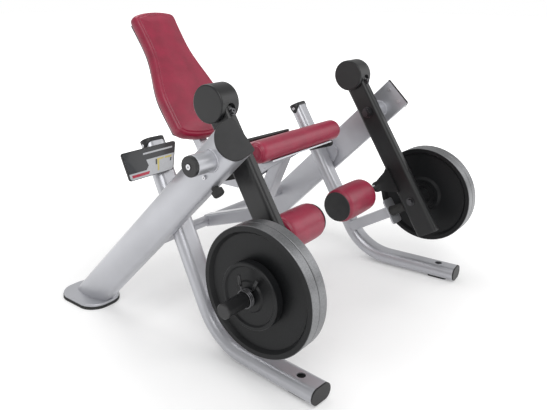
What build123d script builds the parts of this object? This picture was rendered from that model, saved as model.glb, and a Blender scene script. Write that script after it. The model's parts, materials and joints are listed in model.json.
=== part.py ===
"""Plate-loaded leg extension machine with one independent exercise arm per side.

Millimetres. The front is -Y, +Z is up, and the origin lies on the floor under the middle of the
machine. Left (-X) and right (+X) are as seen from the front. Every paired piece is drawn on the
+X side and mirrored to the other side.
"""
from build123d import *
import math
import os

os.makedirs("parts", exist_ok=True)

# ---- driving dimensions ----
WALL = 4.0                      # steel tube wall
FIT = 0.05                      # radial running clearance of a shaft in its bearing
SLIDE_FIT = 0.4                 # radial clearance of what slides or turns loosely on a shaft

PIVOT_Y, PIVOT_Z = -279.5, 770.0
ARM_TILT = math.radians(31.24)  # arm away from the vertical, lower end forward
ARM_X, ARM_THICK, ARM_WIDE = 491.0, 50.0, 104.0
ARM_ROUND = 18.0
ARM_BELOW, ARM_TIP = 618.0, 165.0       # arm ends, measured from the pivot

STRUT_X, STRUT_THICK, STRUT_WIDE = 610.5, 65.0, 145.0
STRUT_SHOULDER = 10.0           # where the bowed outboard face starts, from the strut's centre
STRUT_ROUND, STRUT_CORNER = 28.0, 8.0
STRUT_ABOVE = 136.0             # inboard edge of the mitred upper end, beyond the pivot
STRUT_ABOVE_OUT = 56.0          # outboard edge of that end
STRUT_LENGTH = 1400.0           # uncut length, long enough to pass the floor
FOOT_PLATE_BASE, FOOT_PLATE_TOP = 12.0, 22.0

LEG_WIDE, LEG_DEEP = 100.0, 58.0
LEG_SPLAY = 0.08                # outward drift of the leg per unit of forward length
LEG_FRONT_X, LEG_FRONT_Y = 579.0, -708.5
LEG_AXIS_Z = 37.5
LEG_CORNER = 468.0              # foot length up to the bend's corner
LEG_TOP = (867.8, 745.0)        # leg's upper end, along the foot line and up
LEG_BEND = 235.0
BOLT_FROM_END = 80.8
BOLT_R, ACCESS_R = 7.0, 16.0    # floor bolt, and the opening above it for a socket wrench

HORN_S = 461.0                  # horn axis, down the arm from the pivot
HORN_R = 25.0
HORN_TIP_X = 845.0
PLATE_R, PLATE_THICK = 225.0, 41.0
PLATE_START_X, PLATE_GAP = 604.2, 0.2
SMALL_PLATE_R, SMALL_PLATE_THICK = 114.0, 34.0

DRUM_S, DRUM_R = -199.0, 73.0   # counterweight drum
DRUM_X, DRUM_WIDE = 491.5, 97.0

ROLLER_S, ROLLER_N = 339.0, 127.0       # roller axis, down the arm and behind it
ROLLER_R, ROLLER_ROUND = 74.0, 14.0
ROLLER_X = (95.0, 332.0)
SHAFT_R = 15.0

STOP_X, STOP_S, STOP_N = 514.0, 473.0, 131.0
STOP_TUBE = 50.0

SEAT_SLOPE = math.radians(19.0)
SEAT_Y, SEAT_Z = -177.5, 741.0  # front top edge of the main cushion
CUSHION_THICK, BOARD_THICK, RAIL_THICK = 70.0, 14.0, 6.0
ROLL_Y, ROLL_Z, ROLL_R, ROLL_HALF = -199.5, 709.0, 46.0, 292.0

PAD_TILT = math.radians(34.2)
PAD_Y, PAD_Z = 421.2, 844.5     # point on the back pad's front face
PAD_TOP, PAD_BOTTOM = 481.0, -222.0
SLIDE_Z = 470.0
SLIDE_TUBE = 50.0
SLIDE_TRAVEL = 80.0
PIN_Y, PIN_R, PIN_BOSS = 232.5, 5.0, 14.0

PIVOT = (PIVOT_Y, PIVOT_Z)


# ---- places ----
def beside_arm(down, behind):
    """(Y, Z) of a point given down the arm from the pivot and behind the arm's centre."""
    return (
        PIVOT_Y - down * math.sin(ARM_TILT) + behind * math.cos(ARM_TILT),
        PIVOT_Z - down * math.cos(ARM_TILT) - behind * math.sin(ARM_TILT),
    )


def arm_section(down):
    """Plane across the arm: x outboard, y behind, normal up the arm."""
    return Plane(
        origin=(ARM_X, *beside_arm(down, 0)),
        x_dir=(1, 0, 0),
        z_dir=(0, math.sin(ARM_TILT), math.cos(ARM_TILT)),
    )


def arm_back(down, behind, x=ARM_X):
    """Plane facing behind the arm: x outboard, y down the arm."""
    return Plane(
        origin=(x, *beside_arm(down, behind)),
        x_dir=(1, 0, 0),
        z_dir=(0, math.cos(ARM_TILT), -math.sin(ARM_TILT)),
    )


def arm_side(x):
    """Plane facing outboard at the pivot: x behind the arm, y up the arm."""
    return Plane(
        origin=(x, PIVOT_Y, PIVOT_Z),
        x_dir=(0, math.cos(ARM_TILT), -math.sin(ARM_TILT)),
        z_dir=(1, 0, 0),
    )


def strut_section(beyond):
    """Plane across the strut: x outboard, y up and back, normal up and forward."""
    step = beyond * math.sqrt(0.5)
    return Plane(
        origin=(STRUT_X, PIVOT_Y - step, PIVOT_Z + step),
        x_dir=(1, 0, 0),
        z_dir=(0, -1, 1),
    )


def strut_profile(inset):
    """Strut section: flat inboard face, rounded shoulders and a bowed outboard face."""
    half_thick, half_wide = STRUT_THICK / 2 - inset, STRUT_WIDE / 2 - inset
    with BuildSketch(mode=Mode.PRIVATE) as profile:
        with BuildLine():
            Polyline(
                (STRUT_SHOULDER, half_wide),
                (-half_thick, half_wide),
                (-half_thick, -half_wide),
                (STRUT_SHOULDER, -half_wide),
            )
            ThreePointArc((STRUT_SHOULDER, -half_wide), (half_thick, 0), (STRUT_SHOULDER, half_wide))
        make_face()
        fillet(profile.vertices().group_by(Axis.X)[-1], STRUT_ROUND - inset)
        fillet(profile.vertices().group_by(Axis.X)[0], STRUT_CORNER - inset)
    return profile.sketch


def strut_end(offset):
    """Plane of the mitred upper end, moved along its own normal."""
    fall = STRUT_ABOVE - STRUT_ABOVE_OUT
    along = math.sqrt(0.5) * STRUT_THICK
    plane = Plane(
        origin=(STRUT_X - STRUT_THICK / 2, *on_strut(STRUT_ABOVE, 0)),
        x_dir=(0, 1, 1),
        z_dir=(fall, -along, along),
    )
    return plane.offset(offset)


def on_strut(beyond, across):
    """(Y, Z) of a point beyond the pivot along the strut and across it."""
    return (
        PIVOT_Y + (across - beyond) * math.sqrt(0.5),
        PIVOT_Z + (across + beyond) * math.sqrt(0.5),
    )


def seat_point(back, up):
    """(Y, Z) of a point back along the sloping seat and up from its top face."""
    return (
        SEAT_Y + back * math.cos(SEAT_SLOPE) + up * math.sin(SEAT_SLOPE),
        SEAT_Z - back * math.sin(SEAT_SLOPE) + up * math.cos(SEAT_SLOPE),
    )


def seat_plane(up):
    """Plane parallel to the seat: x outboard, y back along the seat."""
    return Plane(
        origin=(0, *seat_point(0, up)),
        x_dir=(1, 0, 0),
        z_dir=(0, math.sin(SEAT_SLOPE), math.cos(SEAT_SLOPE)),
    )


def pad_point(along, behind):
    """(Y, Z) of a point up along the back pad and behind its front face."""
    return (
        PAD_Y + along * math.sin(PAD_TILT) + behind * math.cos(PAD_TILT),
        PAD_Z + along * math.cos(PAD_TILT) - behind * math.sin(PAD_TILT),
    )


def pad_plane(behind):
    """Plane parallel to the back pad, facing the user: y up along the pad."""
    return Plane(
        origin=(0, *pad_point(0, behind)),
        x_dir=(1, 0, 0),
        z_dir=(0, -math.cos(PAD_TILT), math.sin(PAD_TILT)),
    )


LEG_PLANE = Plane(
    origin=(LEG_FRONT_X, LEG_FRONT_Y, 0),
    x_dir=(-LEG_SPLAY, 1, 0),
    z_dir=(1, LEG_SPLAY, 0),
)
HORN = beside_arm(HORN_S, 0)
DRUM = beside_arm(DRUM_S, 0)
ROLLER = beside_arm(ROLLER_S, ROLLER_N)


# ---- helpers ----
def disc(at, x_from, x_to, radius, mode=Mode.ADD):
    """Cylinder along X in the part being built."""
    with Locations(((x_from + x_to) / 2, *at)):
        Cylinder(radius, x_to - x_from, rotation=(0, 90, 0), mode=mode)


def nut(at, x_from, x_to, across_flats, mode=Mode.ADD):
    """Hexagonal prism along X in the part being built."""
    with BuildSketch(Plane.YZ.offset(x_from)) as hexagon:
        with Locations(at):
            RegularPolygon(across_flats / 2, 6, major_radius=False)
    extrude(hexagon.sketch, amount=x_to - x_from, mode=mode)


def bolt_head(plane, radius, height):
    """Round head on a plane, with a hexagon socket in the part being built."""
    with BuildSketch(plane) as head:
        Circle(radius)
    extrude(head.sketch, amount=height)
    with BuildSketch(plane.offset(height)) as socket:
        RegularPolygon(radius * 0.42, 6)
    extrude(socket.sketch, amount=-height * 0.55, mode=Mode.SUBTRACT)


def save(piece, name):
    """Writes one piece as its own file."""
    piece.part.label = name
    export_step(piece.part, f"parts/{name}.step")


def save_pair(piece, name):
    """Writes the right-hand piece and its mirror image."""
    with BuildPart() as twin:
        add(mirror(piece.part, about=Plane.YZ, mode=Mode.PRIVATE))
    save(piece, f"right_{name}")
    save(twin, f"left_{name}")


def save_both_sides(piece, name):
    """Writes the right-hand solids and their mirror images as one group."""
    with BuildPart() as group:
        add(piece.part)
        add(mirror(piece.part, about=Plane.YZ, mode=Mode.PRIVATE))
    save(group, name)


def turned(at, profile):
    """Solid of revolution about an X-wise axis, from (x, radius) points."""
    with BuildPart() as body:
        with BuildSketch(Plane(origin=(0, *at), x_dir=(1, 0, 0), z_dir=(0, -1, 0))):
            with BuildLine():
                Polyline(*profile, close=True)
            make_face()
        revolve(axis=Axis((0, *at), (1, 0, 0)))
    return body


# ---- leg: flat oval tube, level foot and long slope ----
def leg_solid(inset):
    """The leg's outer shape, or its hollow when inset by the wall."""
    with BuildPart() as body:
        with BuildLine(LEG_PLANE) as path:
            FilletPolyline(
                (0, LEG_AXIS_Z),
                (LEG_CORNER, LEG_AXIS_Z),
                LEG_TOP,
                radius=LEG_BEND,
            )
        with BuildSketch(Plane(origin=path.line @ 0, x_dir=LEG_PLANE.z_dir, z_dir=path.line % 0)):
            SlotOverall(LEG_WIDE - 2 * inset, LEG_DEEP - 2 * inset)
        sweep(path=path.line)
    return body


LEG_BODY = leg_solid(0)
LEG_HOLLOW = leg_solid(WALL)
LEG_RISE = math.atan2(LEG_TOP[1] - LEG_AXIS_Z, LEG_TOP[0] - LEG_CORNER)


def leg_end(plane, thick, plug):
    """Cap over one open end of the leg, with a plug inside it."""
    with BuildSketch(plane) as cover:
        SlotOverall(LEG_WIDE, LEG_DEEP)
    extrude(cover.sketch, amount=thick)
    with BuildSketch(plane) as core:
        SlotOverall(LEG_WIDE - 2 * WALL - 0.4, LEG_DEEP - 2 * WALL - 0.4)
    extrude(core.sketch, amount=-plug)


def leg_point(along, up):
    """World point from the leg's own plane."""
    return LEG_PLANE.from_local_coords((along, up, 0))


BOLT_POINT = leg_point(BOLT_FROM_END, LEG_AXIS_Z)
BOLT_PLACE = (BOLT_POINT.X, BOLT_POINT.Y)
BOLT_BOSS = 16.0

with BuildPart() as leg:
    add(LEG_BODY.part)
    add(LEG_HOLLOW.part, mode=Mode.SUBTRACT)
    with Locations((*BOLT_PLACE, LEG_AXIS_Z - LEG_DEEP / 2 + 1)):
        Cylinder(BOLT_R + 5, BOLT_BOSS, align=(Align.CENTER, Align.CENTER, Align.MIN))
        Cylinder(BOLT_R, 3 * BOLT_BOSS, mode=Mode.SUBTRACT)
    with Locations((*BOLT_PLACE, LEG_AXIS_Z + LEG_DEEP / 2)):
        Cylinder(ACCESS_R, 4 * WALL, mode=Mode.SUBTRACT)
save_pair(leg, "leg")

LEG_TOP_PLANE = Plane(
    origin=leg_point(*LEG_TOP),
    x_dir=LEG_PLANE.z_dir,
    z_dir=LEG_PLANE.x_dir * math.cos(LEG_RISE) + Vector(0, 0, math.sin(LEG_RISE)),
)
LEG_FOOT_PLANE = Plane(
    origin=leg_point(0, LEG_AXIS_Z),
    x_dir=LEG_PLANE.z_dir,
    z_dir=-LEG_PLANE.x_dir,
)
CAP_THICK = 6.0
with BuildPart() as leg_end_caps:
    leg_end(LEG_TOP_PLANE, 2 * CAP_THICK, 20)
    leg_end(LEG_FOOT_PLANE, CAP_THICK, 20)
save_both_sides(leg_end_caps, "leg_end_caps")

# ---- strut: big flat oval tube from the rear floor plate to beyond the pivot ----
HOUSING_R, HOUSING_BORE = 38.0, 28.0
HOUSING_X = (530.0, 728.0)
PAD_HALF = (80.0, 45.0)         # weld pad between the strut and the leg
STRUT_FACE_X = STRUT_X - STRUT_THICK / 2
CROSSING = (8.6, 482.0)        # where leg and strut cross, seen from the side

with BuildPart() as strut:
    with BuildSketch(strut_section(STRUT_ABOVE)):
        add(strut_profile(0))
    extrude(amount=-STRUT_LENGTH)
    with BuildSketch(strut_section(STRUT_ABOVE)):
        add(strut_profile(WALL))
    extrude(amount=-STRUT_LENGTH, mode=Mode.SUBTRACT)
    split(bisect_by=strut_end(0), keep=Keep.BOTTOM)
    with BuildSketch(Plane(origin=(STRUT_FACE_X + 1, *CROSSING), x_dir=(0, -1, 1), z_dir=(-1, 0, 0))):
        Ellipse(*PAD_HALF)
    extrude(amount=40)
    add(LEG_BODY.part, mode=Mode.SUBTRACT)
    split(bisect_by=Plane.XY.offset(FOOT_PLATE_TOP), keep=Keep.TOP)
    split(bisect_by=Plane.YZ.offset(STRUT_FACE_X - 14), keep=Keep.TOP)
    disc(PIVOT, *HOUSING_X, HOUSING_R, mode=Mode.SUBTRACT)
save_pair(strut, "strut")

STRUT_CAP_THICK, STRUT_PLUG = 6.0, 7.0


def strut_end_slab(profile_inset, bottom, top):
    """Slab of the strut's section between two planes parallel to its mitred end."""
    with BuildPart() as slab:
        with BuildSketch(strut_section(STRUT_ABOVE + 60)):
            add(strut_profile(profile_inset))
        extrude(amount=-260)
        split(bisect_by=strut_end(top), keep=Keep.BOTTOM)
        split(bisect_by=strut_end(bottom), keep=Keep.TOP)
    return slab.part


STRUT_END = strut_end(0)
with BuildPart() as strut_end_caps:
    add(strut_end_slab(-1, 0, STRUT_CAP_THICK))
    fillet(strut_end_caps.faces().sort_by(Axis(STRUT_END.origin, STRUT_END.z_dir))[-1].edges(), 2)
    add(strut_end_slab(WALL + 0.2, -STRUT_PLUG, 0))
    disc(PIVOT, STRUT_X - 60, STRUT_X + 60, 38.5, mode=Mode.SUBTRACT)
save_both_sides(strut_end_caps, "strut_end_caps")

# steel floor plate and the rubber under it, and the rubber under the leg's foot
STRUT_FOOT_Y, STRUT_FOOT_LONG, STRUT_FOOT_WIDE = 485.5, 255.0, 186.0
with BuildPart() as strut_foot:
    with BuildSketch(Plane.XY.offset(FOOT_PLATE_BASE)):
        with Locations((STRUT_X - 5, STRUT_FOOT_Y)):
            RectangleRounded(STRUT_FOOT_WIDE, STRUT_FOOT_LONG, 78)
    extrude(amount=FOOT_PLATE_TOP - FOOT_PLATE_BASE)
    fillet(strut_foot.edges().group_by(Axis.Z)[-1], 3)
save_pair(strut_foot, "strut_foot")

LEG_FOOT_LONG, LEG_FOOT_WIDE = 88.0, 50.0
with BuildPart() as rubber_feet:
    with BuildSketch(Plane.XY):
        with Locations((STRUT_X - 5, STRUT_FOOT_Y)):
            RectangleRounded(STRUT_FOOT_WIDE + 4, STRUT_FOOT_LONG + 4, 80)
    extrude(amount=FOOT_PLATE_BASE)
    with BuildSketch(Plane.XY):
        with Locations(Location((*BOLT_PLACE, 0), (0, 0, math.degrees(LEG_SPLAY)))):
            RectangleRounded(LEG_FOOT_WIDE, LEG_FOOT_LONG, 12)
        with Locations(BOLT_PLACE):
            Circle(BOLT_R + 1, mode=Mode.SUBTRACT)
    extrude(amount=LEG_AXIS_Z - LEG_DEEP / 2)
save_both_sides(rubber_feet, "rubber_feet")

# ---- pivot: housing through the strut, two bearings, cap ----
BEARING_WIDE = 16.0
BEARING_INNER_X, BEARING_OUTER_X = 534.0, 705.0
with BuildPart() as pivot_housing:
    disc(PIVOT, *HOUSING_X, HOUSING_R)
    fillet(pivot_housing.edges().filter_by(GeomType.CIRCLE), 1.5)
    disc(PIVOT, *HOUSING_X, HOUSING_BORE, mode=Mode.SUBTRACT)
save_pair(pivot_housing, "pivot_housing")

with BuildPart() as pivot_bearings:
    for start in (BEARING_INNER_X, BEARING_OUTER_X):
        disc(PIVOT, start, start + BEARING_WIDE, HOUSING_BORE)
        disc(PIVOT, start, start + BEARING_WIDE, SHAFT_R + FIT, mode=Mode.SUBTRACT)
save_both_sides(pivot_bearings, "pivot_bearings")

CAP_X = (HOUSING_X[1], HOUSING_X[1] + 14)
with BuildPart() as housing_caps:
    disc(PIVOT, *CAP_X, HOUSING_R - 1)
    fillet(housing_caps.edges().sort_by(Axis.X)[-1], 4)
    disc(PIVOT, CAP_X[0] - 5, CAP_X[0], HOUSING_BORE - 0.1)
    disc(PIVOT, CAP_X[1] - 3, CAP_X[1], 12, mode=Mode.SUBTRACT)
save_both_sides(housing_caps, "housing_caps")

# ---- stop: tube and flange from the leg, with a rubber bumper for the arm ----
FLANGE_THICK = 8.0
with BuildPart() as stop_bracket:
    with BuildSketch(arm_back(STOP_S, STOP_N, STOP_X)):
        RectangleRounded(STOP_TUBE, STOP_TUBE, 5)
    extrude(amount=260)
    add(LEG_BODY.part, mode=Mode.SUBTRACT)
    with BuildSketch(arm_back(STOP_S, STOP_N, STOP_X - 9)):
        RectangleRounded(80, 120, 12)
    extrude(amount=FLANGE_THICK)
    keep_front = stop_bracket.solids().sort_by(Axis.Y)[0]
with BuildPart() as stop_piece:
    add(keep_front)
save_pair(stop_piece, "stop_bracket")

with BuildPart() as stop_bumpers:
    with BuildSketch(arm_back(STOP_S, ARM_WIDE / 2, ARM_X + 3)):
        Circle(20)
    with BuildSketch(arm_back(STOP_S, STOP_N, ARM_X + 3)):
        Circle(24)
    loft()
save_both_sides(stop_bumpers, "stop_bumpers")

# rubber-tipped travel buffer under the strut, beside the pivot
BUFFER_X, BUFFER_BEYOND, BUFFER_TALL, BUFFER_NECK = 610.0, -78.0, 24.0, 10.0


def under_strut(drop):
    """Plane facing the strut's underside from a distance below it."""
    return Plane(
        origin=(BUFFER_X, *on_strut(BUFFER_BEYOND, -STRUT_WIDE / 2 - drop)),
        x_dir=(1, 0, 0),
        z_dir=(0, 1, 1),
    )


with BuildPart() as strut_bumpers:
    with BuildSketch(under_strut(BUFFER_TALL + BUFFER_NECK)):
        Circle(22)
    extrude(amount=BUFFER_TALL)
    fillet(strut_bumpers.edges().sort_by(Axis.Y)[0], 9)
    with BuildSketch(under_strut(BUFFER_NECK)):
        Circle(14)
    extrude(amount=BUFFER_NECK + 2)
    add(strut.part, mode=Mode.SUBTRACT)
save_both_sides(strut_bumpers, "strut_bumpers")

# ---- arm ----
NUT_X = 461.0
EAR_X = (457.0, 513.0)
TONGUE_SOLID = 95.0             # the arm is solid above this height, where it enters the drum
with BuildPart() as arm:
    with BuildSketch(arm_section(ARM_BELOW)):
        RectangleRounded(ARM_THICK, ARM_WIDE, ARM_ROUND)
    extrude(amount=ARM_BELOW + ARM_TIP)
    with BuildSketch(arm_back(0, 0)):
        with Locations((0, (ARM_BELOW - ARM_TIP + ARM_THICK / 2) / 2)):
            Rectangle(ARM_THICK, ARM_BELOW + ARM_TIP - ARM_THICK / 2)
        with Locations((0, ARM_THICK / 2 - ARM_TIP)):
            Circle(ARM_THICK / 2)
    extrude(amount=ARM_WIDE, both=True, mode=Mode.INTERSECT)
    with BuildSketch(arm_side(EAR_X[0])):
        with BuildLine():
            Polyline(
                (30, -ROLLER_S + 62),
                (ROLLER_N - 6, -ROLLER_S + 24),
                (ROLLER_N - 6, -ROLLER_S - 24),
                (30, -ROLLER_S - 62),
                close=True,
            )
        make_face()
        with Locations((ROLLER_N, -ROLLER_S)):
            Circle(26)
    extrude(amount=EAR_X[1] - EAR_X[0])
    with BuildSketch(arm_section(ARM_BELOW)):
        RectangleRounded(ARM_THICK - 2 * WALL, ARM_WIDE - 2 * WALL, ARM_ROUND - WALL)
    extrude(amount=ARM_BELOW + TONGUE_SOLID, mode=Mode.SUBTRACT)
    disc(PIVOT, ARM_X - 23, ARM_X + 38, 24)
    disc(HORN, ARM_X - 23, ARM_X + 23, 20)
    disc(PIVOT, ARM_X - 40, ARM_X + 50, SHAFT_R, mode=Mode.SUBTRACT)
    disc(HORN, ARM_X - 40, ARM_X + 40, 8, mode=Mode.SUBTRACT)
    disc(ROLLER, ARM_X - 60, ARM_X + 60, SHAFT_R, mode=Mode.SUBTRACT)
save_pair(arm, "arm")

with BuildPart() as arm_end_cap:
    with BuildSketch(arm_section(ARM_BELOW)):
        RectangleRounded(ARM_THICK, ARM_WIDE, ARM_ROUND)
    extrude(amount=-8)
    fillet(arm_end_cap.edges().sort_by(Axis.Z)[0], 3)
    with BuildSketch(arm_section(ARM_BELOW)):
        RectangleRounded(ARM_THICK - 2 * WALL - 0.4, ARM_WIDE - 2 * WALL - 0.4, ARM_ROUND - WALL - 0.2)
    extrude(amount=18)
save_pair(arm_end_cap, "arm_end_cap")

SLOT_GAP = 5.0                  # open beside the arm's outboard face and over its tip
SLOT_HALF = (ARM_THICK + SLOT_GAP) / 2
with BuildPart() as counterweight:
    disc(DRUM, DRUM_X - DRUM_WIDE / 2, DRUM_X + DRUM_WIDE / 2, DRUM_R)
    fillet(counterweight.edges().filter_by(GeomType.CIRCLE), 7)
    with BuildSketch(arm_back(0, 0)):
        with Locations((SLOT_GAP / 2, 0)):
            Rectangle(2 * SLOT_HALF, 2 * (ARM_TIP - ARM_THICK / 2))
        with Locations((SLOT_GAP / 2, ARM_THICK / 2 - ARM_TIP)):
            Circle(SLOT_HALF)
    extrude(amount=ARM_WIDE, both=True, mode=Mode.SUBTRACT)
save_pair(counterweight, "counterweight")

SPACER_END_X, FLANGE_END_X = 592.0, PLATE_START_X - 0.2
save_pair(
    turned(
        HORN,
        [
            (ARM_X + ARM_THICK / 2, 8),
            (ARM_X + ARM_THICK / 2, 38),
            (SPACER_END_X, 38),
            (SPACER_END_X, 60),
            (FLANGE_END_X - 2, 60),
            (FLANGE_END_X, 58),
            (FLANGE_END_X, HORN_R),
            (HORN_TIP_X - 8, HORN_R),
            (HORN_TIP_X - 8, HORN_R - 5),
            (SPACER_END_X + 8, HORN_R - 5),
            (SPACER_END_X + 8, 8),
        ],
    ),
    "horn",
)
save_pair(
    turned(
        HORN,
        [
            (HORN_TIP_X - 30, 0),
            (HORN_TIP_X - 30, HORN_R - 5.2),
            (HORN_TIP_X - 8, HORN_R - 5.2),
            (HORN_TIP_X - 8, HORN_R),
            (HORN_TIP_X - 3, HORN_R),
            (HORN_TIP_X, HORN_R - 3),
            (HORN_TIP_X, 0),
        ],
    ),
    "horn_cap",
)

# pivot shaft turns with the arm; its threaded end takes the nut
THREAD_R = 11.0
with BuildPart() as pivot_shaft:
    disc(PIVOT, ARM_X - ARM_THICK / 2, BEARING_OUTER_X + BEARING_WIDE, SHAFT_R)
    disc(PIVOT, NUT_X - 18, ARM_X - ARM_THICK / 2, THREAD_R)
    fillet(pivot_shaft.edges().filter_by(GeomType.CIRCLE).sort_by(Axis.X)[-1], 1.5)
save_pair(pivot_shaft, "pivot_shaft")

SHAFT_INNER_X = 110.0
ROLLER_NUT, ROLLER_WASHER = 7.0, 4.0
with BuildPart() as roller_shaft:
    disc(ROLLER, SHAFT_INNER_X, EAR_X[1] + 4, SHAFT_R)
    disc(ROLLER, ROLLER_X[1] + 0.6, ROLLER_X[1] + 7, 22)
save_pair(roller_shaft, "roller_shaft")

with BuildPart() as arm_fasteners:
    disc(PIVOT, NUT_X, ARM_X - ARM_THICK / 2, 26)
    nut(PIVOT, NUT_X - 17, NUT_X, 38)
    disc(PIVOT, NUT_X - 24, NUT_X - 17, 14)
    disc(PIVOT, NUT_X - 18, ARM_X, THREAD_R, mode=Mode.SUBTRACT)
    disc(HORN, NUT_X + 1, ARM_X - ARM_THICK / 2, 19)
    nut(HORN, NUT_X - 9, NUT_X + 1, 24)
    disc(HORN, NUT_X + 1, SPACER_END_X + 20, 8)
    disc(ROLLER, SHAFT_INNER_X - ROLLER_WASHER, SHAFT_INNER_X, 24)
    nut(ROLLER, SHAFT_INNER_X - ROLLER_WASHER - ROLLER_NUT, SHAFT_INNER_X - ROLLER_WASHER, 20)
    with BuildSketch(arm_back(-138, -ARM_WIDE / 2)) as washer:
        Circle(15)
    extrude(washer.sketch, amount=-3)
    bolt_head(Plane(origin=arm_back(-138, -ARM_WIDE / 2 - 3).origin, z_dir=-arm_back(0, 0).z_dir), 10, 8)
    bolt_head(Plane(origin=arm_back(ROLLER_S - 11, -ARM_WIDE / 2).origin, z_dir=-arm_back(0, 0).z_dir), 8, 5)
save_pair(arm_fasteners, "arm_fasteners")

# ---- roller ----
ROLLER_CAP_R, NUT_POCKET_R = 65.0, 30.0
with BuildPart() as roller:
    disc(ROLLER, ROLLER_X[0] + 3, ROLLER_X[1] - 3, ROLLER_R)
    fillet(roller.edges().filter_by(GeomType.CIRCLE), ROLLER_ROUND)
    disc(ROLLER, *ROLLER_X, SHAFT_R + SLIDE_FIT, mode=Mode.SUBTRACT)
    disc(ROLLER, ROLLER_X[0], SHAFT_INNER_X + ROLLER_WASHER, NUT_POCKET_R, mode=Mode.SUBTRACT)
save_pair(roller, "roller")

# closed cover over the nut at the inner end, ring at the outer end
with BuildPart() as roller_caps:
    disc(ROLLER, ROLLER_X[0] - 2, ROLLER_X[0] + 3, ROLLER_CAP_R)
    fillet(roller_caps.edges().filter_by(GeomType.CIRCLE).sort_by(Axis.X)[0], 3)
    disc(ROLLER, ROLLER_X[1] - 3, ROLLER_X[1] - 0.4, ROLLER_CAP_R - 8)
    disc(ROLLER, ROLLER_X[1] - 3, ROLLER_X[1], SHAFT_R + SLIDE_FIT, mode=Mode.SUBTRACT)
save_pair(roller_caps, "roller_caps")

# ---- weight plates and collar ----
BORE_R = HORN_R + SLIDE_FIT
WEB_INSET = 14.0                # web face below the rim face
RIM_WIDE, RIM_SLOPE = 19.0, 10.0
HUB_R, HUB_SLOPE = 74.0, 12.0


def plate(start, radius, thick, rim, hub, inset, slope):
    """Round weight plate with a raised rim and hub on both faces."""
    end = start + thick
    return turned(
        HORN,
        [
            (start, BORE_R),
            (start, hub),
            (start + inset, hub + slope),
            (start + inset, radius - rim - slope),
            (start, radius - rim),
            (start, radius - 3),
            (start + 3, radius),
            (end - 3, radius),
            (end, radius - 3),
            (end, radius - rim),
            (end - inset, radius - rim - slope),
            (end - inset, hub + slope),
            (end, hub),
            (end, BORE_R),
        ],
    )


OUTER_START = PLATE_START_X + PLATE_THICK + PLATE_GAP
SMALL_START = OUTER_START + PLATE_THICK + PLATE_GAP
COLLAR_START = SMALL_START + SMALL_PLATE_THICK + PLATE_GAP
save_pair(plate(PLATE_START_X, PLATE_R, PLATE_THICK, RIM_WIDE, HUB_R, WEB_INSET, RIM_SLOPE), "inner_plate")
save_pair(plate(OUTER_START, PLATE_R, PLATE_THICK, RIM_WIDE, HUB_R, WEB_INSET, RIM_SLOPE), "outer_plate")
save_pair(plate(SMALL_START, SMALL_PLATE_R, SMALL_PLATE_THICK, 12, 50, 6, 5), "small_plate")

COLLAR_WIDE, WIRE_R = 24.0, 3.0
with BuildPart() as collar:
    disc(HORN, COLLAR_START, COLLAR_START + COLLAR_WIDE, BORE_R + 2 * WIRE_R)
    disc(HORN, COLLAR_START, COLLAR_START + COLLAR_WIDE, BORE_R - 0.1, mode=Mode.SUBTRACT)
    for x, angle in ((COLLAR_START + WIRE_R + 4, 62), (COLLAR_START + COLLAR_WIDE - WIRE_R, 98)):
        turn = math.radians(angle)
        out = (0, -math.cos(turn), math.sin(turn))
        root = Vector(x, *HORN) + Vector(out) * (BORE_R + WIRE_R)
        with BuildSketch(Plane(origin=root, z_dir=out)):
            Circle(WIRE_R)
        extrude(amount=52)
        with BuildSketch(Plane(origin=root + Vector(out) * 22, z_dir=out)):
            Circle(WIRE_R + 3)
        extrude(amount=34)
save_pair(collar, "collar")

# ---- rear cross tube and the post that carries the seat ----
CROSS_Y, CROSS_Z, CROSS_R = 327.5, 222.0, 25.0
with BuildPart() as rear_cross_tube:
    disc((CROSS_Y, CROSS_Z), -STRUT_FACE_X, STRUT_FACE_X, CROSS_R)
    disc((CROSS_Y, CROSS_Z), -STRUT_FACE_X, STRUT_FACE_X, CROSS_R - WALL, mode=Mode.SUBTRACT)
save(rear_cross_tube, "rear_cross_tube")

POST_SIDE, POST_ROUND = 60.0, 8.0
POST_KNEE = (10.5, 332.0)
with BuildPart() as post_hollow:
    with BuildLine(Plane.YZ) as post_path:
        FilletPolyline((CROSS_Y, CROSS_Z), POST_KNEE, (-142.5, 678.0), radius=120)
    with BuildSketch(Plane(origin=post_path.line @ 0, x_dir=(1, 0, 0), z_dir=post_path.line % 0)):
        RectangleRounded(POST_SIDE - 2 * WALL, POST_SIDE - 2 * WALL, POST_ROUND - WALL)
    sweep(path=post_path.line)
RAIL_UNDERSIDE = seat_plane(-CUSHION_THICK - BOARD_THICK - RAIL_THICK)
with BuildPart() as seat_post:
    with BuildSketch(Plane(origin=post_path.line @ 0, x_dir=(1, 0, 0), z_dir=post_path.line % 0)):
        RectangleRounded(POST_SIDE, POST_SIDE, POST_ROUND)
    sweep(path=post_path.line)
    add(post_hollow.part, mode=Mode.SUBTRACT)
    split(bisect_by=RAIL_UNDERSIDE, keep=Keep.BOTTOM)
    disc((CROSS_Y, CROSS_Z), -STRUT_FACE_X, STRUT_FACE_X, CROSS_R, mode=Mode.SUBTRACT)
    upper_solid = seat_post.solids().sort_by(SortBy.VOLUME)[-1]
with BuildPart() as seat_post_piece:
    add(upper_solid)
save(seat_post_piece, "seat_post")

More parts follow.
